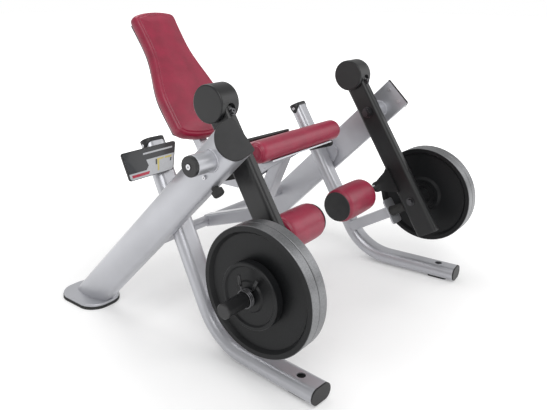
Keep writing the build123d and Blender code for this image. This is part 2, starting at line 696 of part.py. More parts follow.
# ---- seat carrier: plate, two webs, slide sleeve and the handle bars ----
RAIL_FRONT, RAIL_REAR, RAIL_HALF = -30.0, 415.0, 150.0
WEB_X, WEB_THICK = POST_SIDE / 2, 6.0
BOSS_END_X = WEB_X + WEB_THICK + PIN_BOSS
SLEEVE_Y = (111.0, 251.0)
SLEEVE_OUTER, SLEEVE_INNER = 60.0, SLIDE_TUBE + 0.6
HANDLE_R, GRIP_R, HANDLE_X = 11.0, 16.0, 335.0
HANDLE_BACK, HANDLE_FRONT, HANDLE_DROP = 235.0, 55.0, -100.0
with BuildPart() as handle_bars:
    with BuildLine(seat_plane(HANDLE_DROP)) as bar_path:
        FilletPolyline(
            (RAIL_HALF - 12, HANDLE_BACK),
            (HANDLE_X, HANDLE_BACK),
            (HANDLE_X, HANDLE_FRONT),
            radius=45,
        )
    with BuildSketch(Plane(origin=bar_path.line @ 0, z_dir=bar_path.line % 0)):
        Circle(HANDLE_R)
    sweep(path=bar_path.line)
with BuildPart() as seat_rail:
    with BuildSketch(RAIL_UNDERSIDE):
        with BuildLine():
            Polyline(
                (RAIL_HALF + 70, RAIL_FRONT),
                (RAIL_HALF + 70, RAIL_FRONT + 60),
                (RAIL_HALF, RAIL_FRONT + 130),
                (RAIL_HALF, RAIL_REAR),
                (0, RAIL_REAR),
                (0, RAIL_FRONT),
                close=True,
            )
        make_face()
        mirror(about=Plane.YZ)
    extrude(amount=RAIL_THICK)
    with BuildSketch(Plane.YZ.offset(WEB_X)):
        with BuildLine():
            Polyline(
                seat_point(5, -CUSHION_THICK - BOARD_THICK - RAIL_THICK),
                seat_point(RAIL_REAR, -CUSHION_THICK - BOARD_THICK - RAIL_THICK),
                (SLEEVE_Y[1], SLIDE_Z + 30),
                (SLEEVE_Y[1], SLIDE_Z - 30),
                (SLEEVE_Y[0], SLIDE_Z - 30),
                (SLEEVE_Y[0] - 130, SLIDE_Z + 60),
                close=True,
            )
        make_face()
    extrude(amount=WEB_THICK)
    mirror(about=Plane.YZ)
    with BuildSketch(Plane.XZ.offset(-SLEEVE_Y[0])):
        with Locations((0, SLIDE_Z)):
            Rectangle(SLEEVE_OUTER + 1, SLEEVE_OUTER)
    extrude(amount=SLEEVE_Y[0] - SLEEVE_Y[1])
    with BuildSketch(Plane.XZ.offset(-SLEEVE_Y[0] + 5)):
        with Locations((0, SLIDE_Z)):
            Rectangle(SLEEVE_INNER, SLEEVE_INNER)
    extrude(amount=SLEEVE_Y[0] - SLEEVE_Y[1] - 10, mode=Mode.SUBTRACT)
    add(handle_bars.part)
    add(mirror(handle_bars.part, about=Plane.YZ, mode=Mode.PRIVATE))
    disc((PIN_Y, SLIDE_Z), WEB_X, BOSS_END_X, 12)
    disc((PIN_Y, SLIDE_Z), SLEEVE_INNER / 2 - 1, BOSS_END_X, PIN_R + 0.1, mode=Mode.SUBTRACT)
save(seat_rail, "seat_rail")

with BuildPart() as hand_grips:
    with BuildSketch(Plane(origin=(HANDLE_X, *seat_point(HANDLE_BACK - 50, HANDLE_DROP)),
                           z_dir=seat_plane(0).y_dir)):
        Circle(GRIP_R)
    extrude(amount=HANDLE_FRONT - HANDLE_BACK + 46)
    fillet(hand_grips.edges(), 4)
    add(handle_bars.part, mode=Mode.SUBTRACT)
save_both_sides(hand_grips, "hand_grips")

# ---- seat: board, main cushion and the front roll ----
SEAT_FRONT_HALF, SEAT_REAR_HALF, SEAT_LONG = 280.0, 180.0, 470.0


def seat_outline(inset):
    """Seat plan: wide in front, narrower behind, drawn in the open sketch."""
    with BuildLine() as outline:
        Polyline(
            (0, inset + 30),
            (SEAT_FRONT_HALF - inset, inset + 30),
            (SEAT_FRONT_HALF - inset, 170),
            (SEAT_REAR_HALF - inset, 330),
            (SEAT_REAR_HALF - inset, SEAT_LONG - inset),
            (0, SEAT_LONG - inset),
        )
        mirror(outline.line, about=Plane.YZ)
    return make_face(outline.edges())


with BuildPart() as seat_board:
    with BuildSketch(seat_plane(-CUSHION_THICK - BOARD_THICK)) as board_plan:
        add(seat_outline(14))
        fillet(board_plan.vertices(), 18)
    extrude(amount=BOARD_THICK)
    with Locations(Plane(origin=(0, ROLL_Y, ROLL_Z))):
        Cylinder(ROLL_R + 0.3, 2 * ROLL_HALF, rotation=(0, 90, 0), mode=Mode.SUBTRACT)
save(seat_board, "seat_board")

with BuildPart() as seat_cushion:
    with BuildSketch(seat_plane(-CUSHION_THICK)) as cushion_plan:
        add(seat_outline(0))
        fillet(cushion_plan.vertices(), 26)
    extrude(amount=CUSHION_THICK)
    fillet(seat_cushion.edges().group_by(Axis.Z)[-1], 8)
    disc((ROLL_Y, ROLL_Z), -ROLL_HALF - 5, ROLL_HALF + 5, ROLL_R + 0.3, mode=Mode.SUBTRACT)
save(seat_cushion, "seat_cushion")

with BuildPart() as seat_roll:
    disc((ROLL_Y, ROLL_Z), -ROLL_HALF, ROLL_HALF, ROLL_R)
    fillet(seat_roll.edges().filter_by(GeomType.CIRCLE), 16)
save(seat_roll, "seat_roll")

# ---- back pad: cushion, backing board, sliding post and its spring pin ----
PAD_THICK, PAD_BOARD = 58.0, 12.0
PAD_HALF_WIDTHS = [             # (up along the pad, half width)
    (-168, 187),
    (-74, 191),
    (20, 190),
    (110, 168),
    (190, 144),
    (260, 131),
    (350, 130),
    (448, 134),
]


def pad_outline(inset):
    """Hour-glass pad outline with bowed ends."""
    side = [(half - inset, along) for along, half in PAD_HALF_WIDTHS]
    side[0] = (side[0][0], side[0][1] + inset)
    side[-1] = (side[-1][0], side[-1][1] - inset)
    with BuildLine() as outline:
        Spline(*side)
        ThreePointArc(side[-1], (0, PAD_TOP - inset), (-side[-1][0], side[-1][1]))
        Spline(*[(-x, y) for x, y in reversed(side)])
        ThreePointArc((-side[0][0], side[0][1]), (0, PAD_BOTTOM + inset), side[0])
    return make_face(outline.edges())


with BuildPart() as back_cushion:
    with BuildSketch(pad_plane(PAD_THICK)) as pad_plan:
        add(pad_outline(0))
    extrude(amount=PAD_THICK)
    fillet(back_cushion.faces().sort_by(Axis.Y)[0].edges(), 14)
save(back_cushion, "back_cushion")

with BuildPart() as back_board:
    with BuildSketch(pad_plane(PAD_THICK + PAD_BOARD)):
        add(pad_outline(10))
    extrude(amount=PAD_BOARD)
save(back_board, "back_board")

TUBE_BEHIND = PAD_THICK + PAD_BOARD + SLIDE_TUBE / 2
TUBE_TOP = pad_point(180, TUBE_BEHIND)
TUBE_DROP = (TUBE_TOP[1] - SLIDE_Z) / math.cos(PAD_TILT)
TUBE_KNEE = (TUBE_TOP[0] - TUBE_DROP * math.sin(PAD_TILT), SLIDE_Z)
SLIDE_FRONT_Y = 103.5
with BuildPart() as back_post:
    with BuildLine(Plane.YZ) as slide_path:
        FilletPolyline((SLIDE_FRONT_Y, SLIDE_Z), TUBE_KNEE, TUBE_TOP, radius=60)
    with BuildSketch(Plane(origin=slide_path.line @ 0, x_dir=(1, 0, 0), z_dir=slide_path.line % 0)):
        RectangleRounded(SLIDE_TUBE, SLIDE_TUBE, 6)
        RectangleRounded(SLIDE_TUBE - 2 * WALL, SLIDE_TUBE - 2 * WALL, 3, mode=Mode.SUBTRACT)
    sweep(path=slide_path.line)
    with BuildSketch(Plane.YZ):
        with Locations((PIN_Y - SLIDE_TRAVEL / 2, SLIDE_Z)):
            SlotCenterToCenter(SLIDE_TRAVEL, 2 * PIN_R + 1.5)
    extrude(amount=SLIDE_TUBE, mode=Mode.SUBTRACT)
save(back_post, "back_post")

with BuildPart() as pull_pin:
    disc((PIN_Y, SLIDE_Z), SLIDE_TUBE / 2 - 3, BOSS_END_X, PIN_R)
    disc((PIN_Y, SLIDE_Z), BOSS_END_X, BOSS_END_X + 12, 9)
    disc((PIN_Y, SLIDE_Z), BOSS_END_X + 12, BOSS_END_X + 30, 18)
    fillet(pull_pin.edges().filter_by(GeomType.CIRCLE).group_by(Axis.X)[-1], 5)
save(pull_pin, "pull_pin")

# ---- placard in front of the left leg, on a block that meets the leg's face ----
PLACARD_TOP_WIDE, PLACARD_FOOT_WIDE = 275.0, 219.0
PLACARD_TALL, PLACARD_THICK = 110.0, 8.0
PLACARD_RISE = math.radians(82.5)
PLACARD_X, PLACARD_Y, PLACARD_Z = -610.0, 55.0, 702.0
BRACKET_SHIFT, BRACKET_WIDE, BRACKET_TALL, BRACKET_LONG = 82.0, 46.0, 70.0, 80.0
PLACARD_PLANE = Plane(
    origin=(PLACARD_X, PLACARD_Y, PLACARD_Z),
    x_dir=(1, 0, 0),
    z_dir=(0, -math.sin(PLACARD_RISE), math.cos(PLACARD_RISE)),
)
with BuildPart() as placard_blank:
    with BuildSketch(PLACARD_PLANE.offset(-PLACARD_THICK)) as face:
        with BuildLine():
            Polyline(
                (-PLACARD_TOP_WIDE / 2, PLACARD_TALL / 2),
                (PLACARD_TOP_WIDE / 2, PLACARD_TALL / 2),
                (PLACARD_FOOT_WIDE / 2, -PLACARD_TALL / 2),
                (-PLACARD_FOOT_WIDE / 2, -PLACARD_TALL / 2),
                close=True,
            )
        make_face()
        fillet(face.vertices(), 9)
    extrude(amount=PLACARD_THICK)
    with BuildSketch(PLACARD_PLANE.offset(-PLACARD_THICK)):
        with Locations((BRACKET_SHIFT, 0)):
            Rectangle(BRACKET_WIDE, BRACKET_TALL)
    extrude(amount=-BRACKET_LONG)
    add(mirror(LEG_BODY.part, about=Plane.YZ, mode=Mode.PRIVATE), mode=Mode.SUBTRACT)
    front_solid = placard_blank.solids().sort_by(Axis.Y)[0]
with BuildPart() as placard:
    add(front_solid)
save(placard, "placard")

# ---- screws and bolts of the fixed frame ----
INBOARD, OUTBOARD = (-1, 0, 0), (1, 0, 0)
STRUT_OUTER_X = STRUT_X + STRUT_THICK / 2
with BuildPart() as frame_screws:
    for across in (-36, 36):
        bolt_head(Plane(origin=(STRUT_FACE_X, *on_strut(108, across)), z_dir=INBOARD), 8, 5)
    for across in (-30, 12):
        disc(on_strut(-62, across), STRUT_OUTER_X - 4, STRUT_OUTER_X + 5, 7)
        nut(on_strut(-62, across), STRUT_OUTER_X + 2, STRUT_OUTER_X + 5, 6, mode=Mode.SUBTRACT)
    add(strut.part, mode=Mode.SUBTRACT)
    bolt_head(Plane(origin=(CAP_X[1] - 3, *PIVOT), z_dir=OUTBOARD), 10, 6)
save_both_sides(frame_screws, "frame_screws")
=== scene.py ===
"""Finishes, upholstery and small details of a plate-loaded leg extension machine.

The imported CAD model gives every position; lengths here are metres.
"""
import json
import math

import bmesh
import bpy
from bpy.props import FloatProperty, FloatVectorProperty, IntProperty, PointerProperty
from bpy.types import Operator, Panel, PropertyGroup
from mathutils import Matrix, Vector, noise


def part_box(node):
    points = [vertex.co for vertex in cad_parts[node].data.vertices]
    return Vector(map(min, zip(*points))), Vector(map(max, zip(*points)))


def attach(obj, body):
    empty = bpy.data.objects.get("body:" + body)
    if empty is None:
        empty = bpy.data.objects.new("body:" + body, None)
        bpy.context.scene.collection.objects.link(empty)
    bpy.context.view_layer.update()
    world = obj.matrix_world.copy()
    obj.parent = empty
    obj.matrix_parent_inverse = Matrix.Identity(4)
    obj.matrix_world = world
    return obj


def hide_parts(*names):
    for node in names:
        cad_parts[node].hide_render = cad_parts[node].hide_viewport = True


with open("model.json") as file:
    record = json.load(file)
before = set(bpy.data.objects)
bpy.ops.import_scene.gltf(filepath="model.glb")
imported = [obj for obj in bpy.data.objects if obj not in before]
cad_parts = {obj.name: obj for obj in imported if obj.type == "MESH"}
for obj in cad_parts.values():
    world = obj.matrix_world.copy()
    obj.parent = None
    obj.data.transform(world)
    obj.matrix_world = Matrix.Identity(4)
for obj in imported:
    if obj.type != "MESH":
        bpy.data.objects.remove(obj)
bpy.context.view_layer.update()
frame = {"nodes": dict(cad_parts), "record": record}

bl_info = {
    "name": "Leg Extension Machine",
    "version": (1, 0, 0),
    "blender": (4, 5, 0),
    "location": "View3D > Sidebar > Leg Extension",
    "description": "Upholstery, finishes and fittings for a plate-loaded leg extension machine",
    "category": "Object",
}

SIDES = (("left", -1), ("right", 1))
SEAT_SLOPE = math.radians(19.0)
PAD_TILT = math.radians(34.2)
SEAT_THICK, SEAT_LENGTH = 0.070, 0.470
BACK_THICK = 0.058
PAD_FOOT, PAD_HEAD = 0.222, 0.481   # back pad below and above the origin of its outline
OUTLINE_STEP = 0.006            # spacing of the points round a pad
CLEAR_OF_ROLL = 0.0015          # gap that the cushion keeps from the seat roll
TOE = 0.0012                    # how far a weld stands off the tube it follows
STRUT_BOW = 0.128               # radius of the strut's bowed outboard face
COIL_SPAN = 0.021               # length of a collar's coil along the horn
LEG_RISE = math.radians(60.54)
LEG_SPLAY = 0.08
LEG_HALF_WIDE, LEG_HALF_DEEP = 0.050, 0.029
LEG_TOP_AT = (0.5098, 0.1565, 0.745)
CAP_SKIRT = 0.030               # how far the leg cap's skirt dips at the narrow sides
PLACARD_RISE = math.radians(82.5)
NEAR_GLOW, FAR_GLOW = 0.17, 0.9     # glow of the floor that the camera sees, near and far
PLACARD_WIDE, PLACARD_TAPER = 0.275, 0.796
SLOT_OF = {part["node"]: part["material_slot"] for part in frame["record"]["subparts"]}


# ---------------------------------------------------------------- settings
class UpholsterySettings(PropertyGroup):
    """Sizes of the pads and their seams."""

    crown: FloatProperty(
        name="Crown", description="How far a pad's middle stands above its seam",
        default=0.007, min=0.0, unit="LENGTH",
    )
    seam_inset: FloatProperty(
        name="Seam inset", description="Distance of the seam from the pad's outer edge",
        default=0.020, min=0.0, unit="LENGTH",
    )
    seam_depth: FloatProperty(
        name="Seam depth", description="How deep the seam is drawn in",
        default=0.005, min=0.0, unit="LENGTH",
    )
    stitch_pitch: FloatProperty(
        name="Stitch pitch", description="Length of one stitch and its gap",
        default=0.0065, min=0.001, unit="LENGTH",
    )
    stitch_width: FloatProperty(
        name="Thread", description="Thickness of the sewing thread",
        default=0.0009, min=0.0001, unit="LENGTH",
    )


class FittingSettings(PropertyGroup):
    """Sizes of the spring collars, welds and grips."""

    wire: FloatProperty(
        name="Wire radius", description="Radius of the spring collar's wire",
        default=0.003, min=0.0005, unit="LENGTH",
    )
    turns: FloatProperty(
        name="Turns", description="Turns of wire in a spring collar", default=3.25, min=1.0,
    )
    bead: FloatProperty(
        name="Weld bead", description="Radius of one ripple of a weld",
        default=0.0042, min=0.0005, unit="LENGTH",
    )
    ripple: FloatProperty(
        name="Weld ripple", description="Distance between two ripples of a weld",
        default=0.0028, min=0.0005, unit="LENGTH",
    )
    grip_ribs: IntProperty(
        name="Grip ribs", description="Rings moulded round each hand grip", default=22, min=1,
    )


class ColourSettings(PropertyGroup):
    """Base colours of the finishes."""

    silver: FloatVectorProperty(
        name="Frame", description="Metallic powder coat of the frame",
        subtype="COLOR", default=(0.49, 0.495, 0.525), min=0.0, max=1.0,
    )
    vinyl: FloatVectorProperty(
        name="Upholstery", description="Burgundy vinyl of the pads",
        subtype="COLOR", default=(0.275, 0.005, 0.036), min=0.0, max=1.0,
    )
    paint: FloatVectorProperty(
        name="Arms", description="Black paint of the arms and counterweights",
        subtype="COLOR", default=(0.0065, 0.0068, 0.0074), min=0.0, max=1.0,
    )
    iron: FloatVectorProperty(
        name="Plates", description="Charcoal enamel of the weight plates",
        subtype="COLOR", default=(0.0075, 0.0079, 0.0086), min=0.0, max=1.0,
    )


# ---------------------------------------------------------------- node helpers
def node(tree, kind, inputs=None, **options):
    """Adds a shader or geometry node, sets its options and its unlinked inputs."""
    made = tree.nodes.new(kind)
    for name, value in options.items():
        setattr(made, name, value)
    for name, value in (inputs or {}).items():
        made.inputs[name].default_value = value
    return made


def blank(name):
    """A material with one Principled shader."""
    material = bpy.data.materials.new(name)
    material.use_nodes = True
    tree = material.node_tree
    return material, tree, tree.nodes["Principled BSDF"]


def grain(tree, scale, detail=3.0, kind="ShaderNodeTexNoise"):
    """Object-space texture; returns its first value output."""
    coords = node(tree, "ShaderNodeTexCoord")
    inputs = {"Scale": scale}
    if kind == "ShaderNodeTexNoise":
        inputs["Detail"] = detail
    texture = node(tree, kind, inputs)
    tree.links.new(coords.outputs["Object"], texture.inputs["Vector"])
    return texture


def ramp(tree, source, low, high, low_at=0.3, high_at=0.7):
    """Two-colour ramp over a value."""
    made = node(tree, "ShaderNodeValToRGB")
    made.color_ramp.elements[0].position = low_at
    made.color_ramp.elements[1].position = high_at
    made.color_ramp.elements[0].color = (*low, 1.0)
    made.color_ramp.elements[1].color = (*high, 1.0)
    tree.links.new(source, made.inputs["Fac"])
    return made.outputs["Color"]


def spread(tree, source, low, high):
    """Maps a 0..1 value on to low..high."""
    made = node(tree, "ShaderNodeMapRange", {"To Min": low, "To Max": high})
    tree.links.new(source, made.inputs["Value"])
    return made.outputs["Result"]


def bump(tree, shader, height, distance, strength=1.0):
    """Bump from a height value."""
    made = node(tree, "ShaderNodeBump", {"Distance": distance, "Strength": strength})
    tree.links.new(height, made.inputs["Height"])
    previous = shader.inputs["Normal"]
    if previous.links:
        tree.links.new(previous.links[0].from_socket, made.inputs["Normal"])
    tree.links.new(made.outputs["Normal"], previous)


def tinted(colour, factor):
    """A colour made lighter or darker."""
    return tuple(min(1.0, channel * factor) for channel in colour)


# ---------------------------------------------------------------- finishes
def silver_powder_coat(colour):
    """Metallic powder coat: fine flakes, orange peel and faint cloudiness."""
    material, tree, shader = blank("silver_powder_coat")
    clouds = grain(tree, 5.0, 4.0)
    shade = ramp(tree, clouds.outputs["Fac"], tinted(colour, 0.95), tinted(colour, 1.05))
    tree.links.new(shade, shader.inputs["Base Color"])
    shader.inputs["Metallic"].default_value = 0.55
    flakes = grain(tree, 1500.0, 1.0)
    tree.links.new(spread(tree, flakes.outputs["Fac"], 0.27, 0.43), shader.inputs["Roughness"])
    shader.inputs["Coat Weight"].default_value = 0.25
    shader.inputs["Coat Roughness"].default_value = 0.18
    peel = grain(tree, 420.0, 2.0)
    bump(tree, shader, peel.outputs["Fac"], 0.00012, 0.5)
    return material


def satin_black_paint(colour):
    """Textured black powder coat of the moving arms, rubbed slightly lighter in patches."""
    material, tree, shader = blank("satin_black_paint")
    clouds = grain(tree, 9.0, 5.0)
    shade = ramp(tree, clouds.outputs["Fac"], tinted(colour, 0.85), tinted(colour, 1.35))
    tree.links.new(shade, shader.inputs["Base Color"])
    tree.links.new(spread(tree, clouds.outputs["Fac"], 0.34, 0.44), shader.inputs["Roughness"])
    texture = grain(tree, 900.0, 2.0)
    bump(tree, shader, texture.outputs["Fac"], 0.00015, 0.6)
    return material


def enamelled_iron(colour, hub):
    """Charcoal enamel on cast iron, with the rim turned bright and finely ringed."""
    material, tree, shader = blank("enamelled_iron")
    coords = node(tree, "ShaderNodeTexCoord")
    centred = node(tree, "ShaderNodeMapping", {"Location": (0.0, -hub[0], -hub[1])})
    tree.links.new(coords.outputs["Object"], centred.inputs["Vector"])
    split = node(tree, "ShaderNodeSeparateXYZ")
    tree.links.new(centred.outputs["Vector"], split.inputs["Vector"])
    flat = node(tree, "ShaderNodeCombineXYZ")
    tree.links.new(split.outputs["Y"], flat.inputs["Y"])
    tree.links.new(split.outputs["Z"], flat.inputs["Z"])
    radius = node(tree, "ShaderNodeVectorMath", operation="LENGTH")
    tree.links.new(flat.outputs["Vector"], radius.inputs[0])
    rim = node(tree, "ShaderNodeMapRange", {"From Min": 0.2225, "From Max": 0.2240})
    tree.links.new(radius.outputs["Value"], rim.inputs["Value"])
    sand = grain(tree, 260.0, 5.0)
    dark = ramp(tree, sand.outputs["Fac"], tinted(colour, 0.8), tinted(colour, 1.5))
    worn = ramp(tree, sand.outputs["Fac"], (0.17, 0.173, 0.18), (0.27, 0.273, 0.28))
    mix = node(tree, "ShaderNodeMix", data_type="RGBA")
    tree.links.new(rim.outputs["Result"], mix.inputs["Factor"])
    tree.links.new(dark, mix.inputs["A"])
    tree.links.new(worn, mix.inputs["B"])
    tree.links.new(mix.outputs["Result"], shader.inputs["Base Color"])
    tree.links.new(spread(tree, rim.outputs["Result"], 0.0, 0.95), shader.inputs["Metallic"])
    tree.links.new(spread(tree, sand.outputs["Fac"], 0.33, 0.48), shader.inputs["Roughness"])
    shader.inputs["Specular IOR Level"].default_value = 0.24
    rings = node(tree, "ShaderNodeMath", {1: 5200.0}, operation="MULTIPLY")
    tree.links.new(radius.outputs["Value"], rings.inputs[0])
    groove = node(tree, "ShaderNodeMath", operation="SINE")
    tree.links.new(rings.outputs["Value"], groove.inputs[0])
    turned = node(tree, "ShaderNodeMath", operation="MULTIPLY")
    tree.links.new(groove.outputs["Value"], turned.inputs[0])
    tree.links.new(rim.outputs["Result"], turned.inputs[1])
    bump(tree, shader, sand.outputs["Fac"], 0.0005, 0.5)
    bump(tree, shader, turned.outputs["Value"], 0.00008, 0.5)
    return material


def moulded_plastic():
    """Black moulded plastic with a fine spark-eroded grain."""
    material, tree, shader = blank("moulded_plastic")
    clouds = grain(tree, 30.0, 3.0)
    shade = ramp(tree, clouds.outputs["Fac"], (0.011, 0.011, 0.012), (0.018, 0.018, 0.019))
    tree.links.new(shade, shader.inputs["Base Color"])
    tree.links.new(spread(tree, clouds.outputs["Fac"], 0.42, 0.52), shader.inputs["Roughness"])
    pits = grain(tree, 1600.0, kind="ShaderNodeTexVoronoi")
    bump(tree, shader, pits.outputs["Distance"], 0.00012, 0.5)
    return material


def dull_rubber():
    """Black rubber, dusty in the hollows."""
    material, tree, shader = blank("dull_rubber")
    dust = grain(tree, 60.0, 5.0)
    shade = ramp(tree, dust.outputs["Fac"], (0.012, 0.012, 0.012), (0.032, 0.032, 0.031))
    tree.links.new(shade, shader.inputs["Base Color"])
    tree.links.new(spread(tree, dust.outputs["Fac"], 0.66, 0.86), shader.inputs["Roughness"])
    bump(tree, shader, dust.outputs["Fac"], 0.0004, 0.4)
    return material


def plated_steel(name, colour, rough_low, rough_high, streak):
    """Plated or brushed steel with streaks along X."""
    material, tree, shader = blank(name)
    coords = node(tree, "ShaderNodeTexCoord")
    stretch = node(tree, "ShaderNodeMapping", {"Scale": (streak, 1.0, 1.0)})
    tree.links.new(coords.outputs["Object"], stretch.inputs["Vector"])
    brush = node(tree, "ShaderNodeTexNoise", {"Scale": 700.0, "Detail": 3.0})
    tree.links.new(stretch.outputs["Vector"], brush.inputs["Vector"])
    shade = ramp(tree, brush.outputs["Fac"], tinted(colour, 0.9), colour)
    tree.links.new(shade, shader.inputs["Base Color"])
    shader.inputs["Metallic"].default_value = 1.0
    tree.links.new(spread(tree, brush.outputs["Fac"], rough_low, rough_high), shader.inputs["Roughness"])
    bump(tree, shader, brush.outputs["Fac"], 0.00005, 0.4)
    return material


def burgundy_vinyl(colour):
    """Upholstery vinyl: pebbled grain, soft mottling and a low sheen."""
    material, tree, shader = blank("burgundy_vinyl")
    mottle = grain(tree, 14.0, 6.0)
    shade = ramp(tree, mottle.outputs["Fac"], tinted(colour, 0.86), tinted(colour, 1.18))
    tree.links.new(shade, shader.inputs["Base Color"])
    pebbles = grain(tree, 620.0, kind="ShaderNodeTexVoronoi")
    creases = grain(tree, 55.0, 7.0)
    tree.links.new(spread(tree, pebbles.outputs["Distance"], 0.34, 0.5), shader.inputs["Roughness"])
    shader.inputs["Specular IOR Level"].default_value = 0.62
    shader.inputs["Coat Weight"].default_value = 0.15
    shader.inputs["Coat Roughness"].default_value = 0.3
    bump(tree, shader, creases.outputs["Fac"], 0.0006, 0.35)
    bump(tree, shader, pebbles.outputs["Distance"], 0.0003, 0.5)
    return material


def plain_print(name, colour, roughness=0.3):
    """Glossy printed area with a slight mottle."""
    material, tree, shader = blank(name)
    speck = grain(tree, 180.0, 4.0)
    shade = ramp(tree, speck.outputs["Fac"], tinted(colour, 0.94), tinted(colour, 1.04))
    tree.links.new(shade, shader.inputs["Base Color"])
    tree.links.new(
        spread(tree, speck.outputs["Fac"], roughness - 0.04, roughness + 0.06), shader.inputs["Roughness"]
    )
    shader.inputs["Coat Weight"].default_value = 0.3
    return material


def finish_for(slot):
    """The material made for a record slot."""
    return bpy.data.materials[FINISH_NAMES[slot]]


FINISH_NAMES = {
    "frame_silver": "silver_powder_coat",
    "arm_black": "satin_black_paint",
    "plate_iron": "enamelled_iron",
    "black_plastic": "moulded_plastic",
    "board_black": "moulded_plastic",
    "rubber": "dull_rubber",
    "bright_steel": "zinc_steel",
    "chrome": "bright_chrome",
    "burgundy": "burgundy_vinyl",
    "placard_face": "placard_grey",
}


# ---------------------------------------------------------------- mesh helpers
def make_piece(name, verts, faces, material, smooth=True):
    """A mesh object at the origin from world-space points."""
    mesh = bpy.data.meshes.new(name)
    mesh.from_pydata([tuple(point) for point in verts], [], faces)
    return dress(name, mesh, material, smooth)


def dress(name, mesh, material, smooth=True):
    """Cleans a mesh, gives it a material and links its object."""
    work = bmesh.new()
    work.from_mesh(mesh)
    bmesh.ops.remove_doubles(work, verts=work.verts, dist=1e-5)
    bmesh.ops.dissolve_degenerate(work, edges=work.edges, dist=1e-6)
    bmesh.ops.recalc_face_normals(work, faces=work.faces)
    work.to_mesh(mesh)
    work.free()
    for face in mesh.polygons:
        face.use_smooth = smooth
    mesh.materials.clear()
    mesh.materials.append(material)
    piece = bpy.data.objects.new(name, mesh)
    bpy.context.scene.collection.objects.link(piece)
    return piece


def subdivide(piece, levels=1):
    """Subdivision surface, left live on the piece."""
    modifier = piece.modifiers.new("Smooth", "SUBSURF")
    modifier.levels = levels
    modifier.render_levels = levels


def ring_faces(rings, count):
    """Quads between neighbouring rings of count points each."""
    faces = []
    for ring in range(rings - 1):
        for step in range(count):
            a = ring * count + step
            b = ring * count + (step + 1) % count
            faces.append((a, b, b + count, a + count))
    return faces


def middle_of(low, high):
    """Middle of a box, seen along X: (y, z)."""
    return (low.y + high.y) / 2, (low.z + high.z) / 2


def tube(points, radius, sides=12):
    """Verts and faces of a closed round tube through points; radius is one number or one per point."""
    radii = radius if isinstance(radius, list) else [radius] * len(points)
    verts = []
    tangent = (points[1] - points[0]).normalized()
    side = tangent.orthogonal().normalized()
    for index, point in enumerate(points):
        ahead = points[min(index + 1, len(points) - 1)] - points[max(index - 1, 0)]
        tangent = ahead.normalized()
        side = (side - tangent * side.dot(tangent)).normalized()
        other = tangent.cross(side)
        for step in range(sides):
            turn = 2 * math.pi * step / sides
            verts.append(point + (side * math.cos(turn) + other * math.sin(turn)) * radii[index])
    faces = ring_faces(len(points), sides)
    faces.append(tuple(range(sides))[::-1])
    faces.append(tuple(range(len(verts) - sides, len(verts))))
    return verts, faces


def merge(parts):
    """Joins lists of (verts, faces)."""
    verts = []
    faces = []
    for part_verts, part_faces in parts:
        base = len(verts)
        verts.extend(part_verts)
        faces.extend(tuple(index + base for index in face) for face in part_faces)
    return verts, faces


# ---------------------------------------------------------------- pad outlines
def even_loop(points, step):
    """Resamples a closed outline at even steps, starting where it starts."""
    closed = points + [points[0]]
    lengths = [0.0]
    for first, second in zip(closed, closed[1:]):
        lengths.append(lengths[-1] + (second - first).length)
    count = max(24, 2 * round(lengths[-1] / step / 2))
    result = []
    segment = 0
    for index in range(count):
        target = lengths[-1] * index / count
        while lengths[segment + 1] < target:
            segment += 1
        share = (target - lengths[segment]) / (lengths[segment + 1] - lengths[segment])
        result.append(closed[segment].lerp(closed[segment + 1], share))
    return result


def relaxed(loop, passes):
    """Rounds an outline's corners by averaging neighbours."""
    for _ in range(passes):
        loop = [
            (loop[i - 1] + loop[i] * 2 + loop[(i + 1) % len(loop)]) / 4 for i in range(len(loop))
        ]
    return loop


def mirrored_loop(half):
    """Closed outline from its right half, given from bottom centre to top centre."""
    other = [Vector((-point.x, point.y)) for point in reversed(half[1:-1])]
    return list(half) + other


def through(points, steps):
    """Smooth open line through points."""
    line = []
    ends = [points[0] * 2 - points[1]] + list(points) + [points[-1] * 2 - points[-2]]
    for index in range(len(points) - 1):
        a, b, c, d = ends[index:index + 4]
        for step in range(steps):
            t = step / steps
            line.append((
                b * 2 + (c - a) * t + (a * 2 - b * 5 + c * 4 - d) * t * t
                + (b * 3 - a - c * 3 + d) * t * t * t
            ) / 2)
    line.append(points[-1])
    return line


def hourglass():
    """Back pad outline: narrow shoulders, waist and wide base."""
    widths = [
        (-0.168, 0.187), (-0.074, 0.191), (0.020, 0.190), (0.110, 0.168),
        (0.190, 0.144), (0.260, 0.131), (0.350, 0.130), (0.450, 0.134),
    ]
    foot = through([Vector((0.0, -PAD_FOOT)), Vector((0.075, -0.215)), Vector((0.150, -0.196))], 8)
    side = through([Vector((width, along)) for along, width in widths], 8)
    head = through([Vector((0.124, 0.464)), Vector((0.065, 0.476)), Vector((0.0, PAD_HEAD))], 8)
    return relaxed(even_loop(mirrored_loop(foot + side + head), OUTLINE_STEP), 9)


def seat_plan():
    """Main cushion outline: full width in front, waisted to the rear."""
    half = [
        Vector((0.0, 0.022)), Vector((0.280, 0.022)), Vector((0.280, 0.170)),
        Vector((0.180, 0.330)), Vector((0.180, SEAT_LENGTH)), Vector((0.0, SEAT_LENGTH)),
    ]
    return relaxed(even_loop(mirrored_loop(half), OUTLINE_STEP), 28)


def inward(loop, inset):
    """Offsets an outline towards its inside."""
    result = []
    for index, point in enumerate(loop):
        along = (loop[(index + 1) % len(loop)] - loop[index - 1]).normalized()
        result.append(point + Vector((-along.y, along.x)) * inset)
    return result


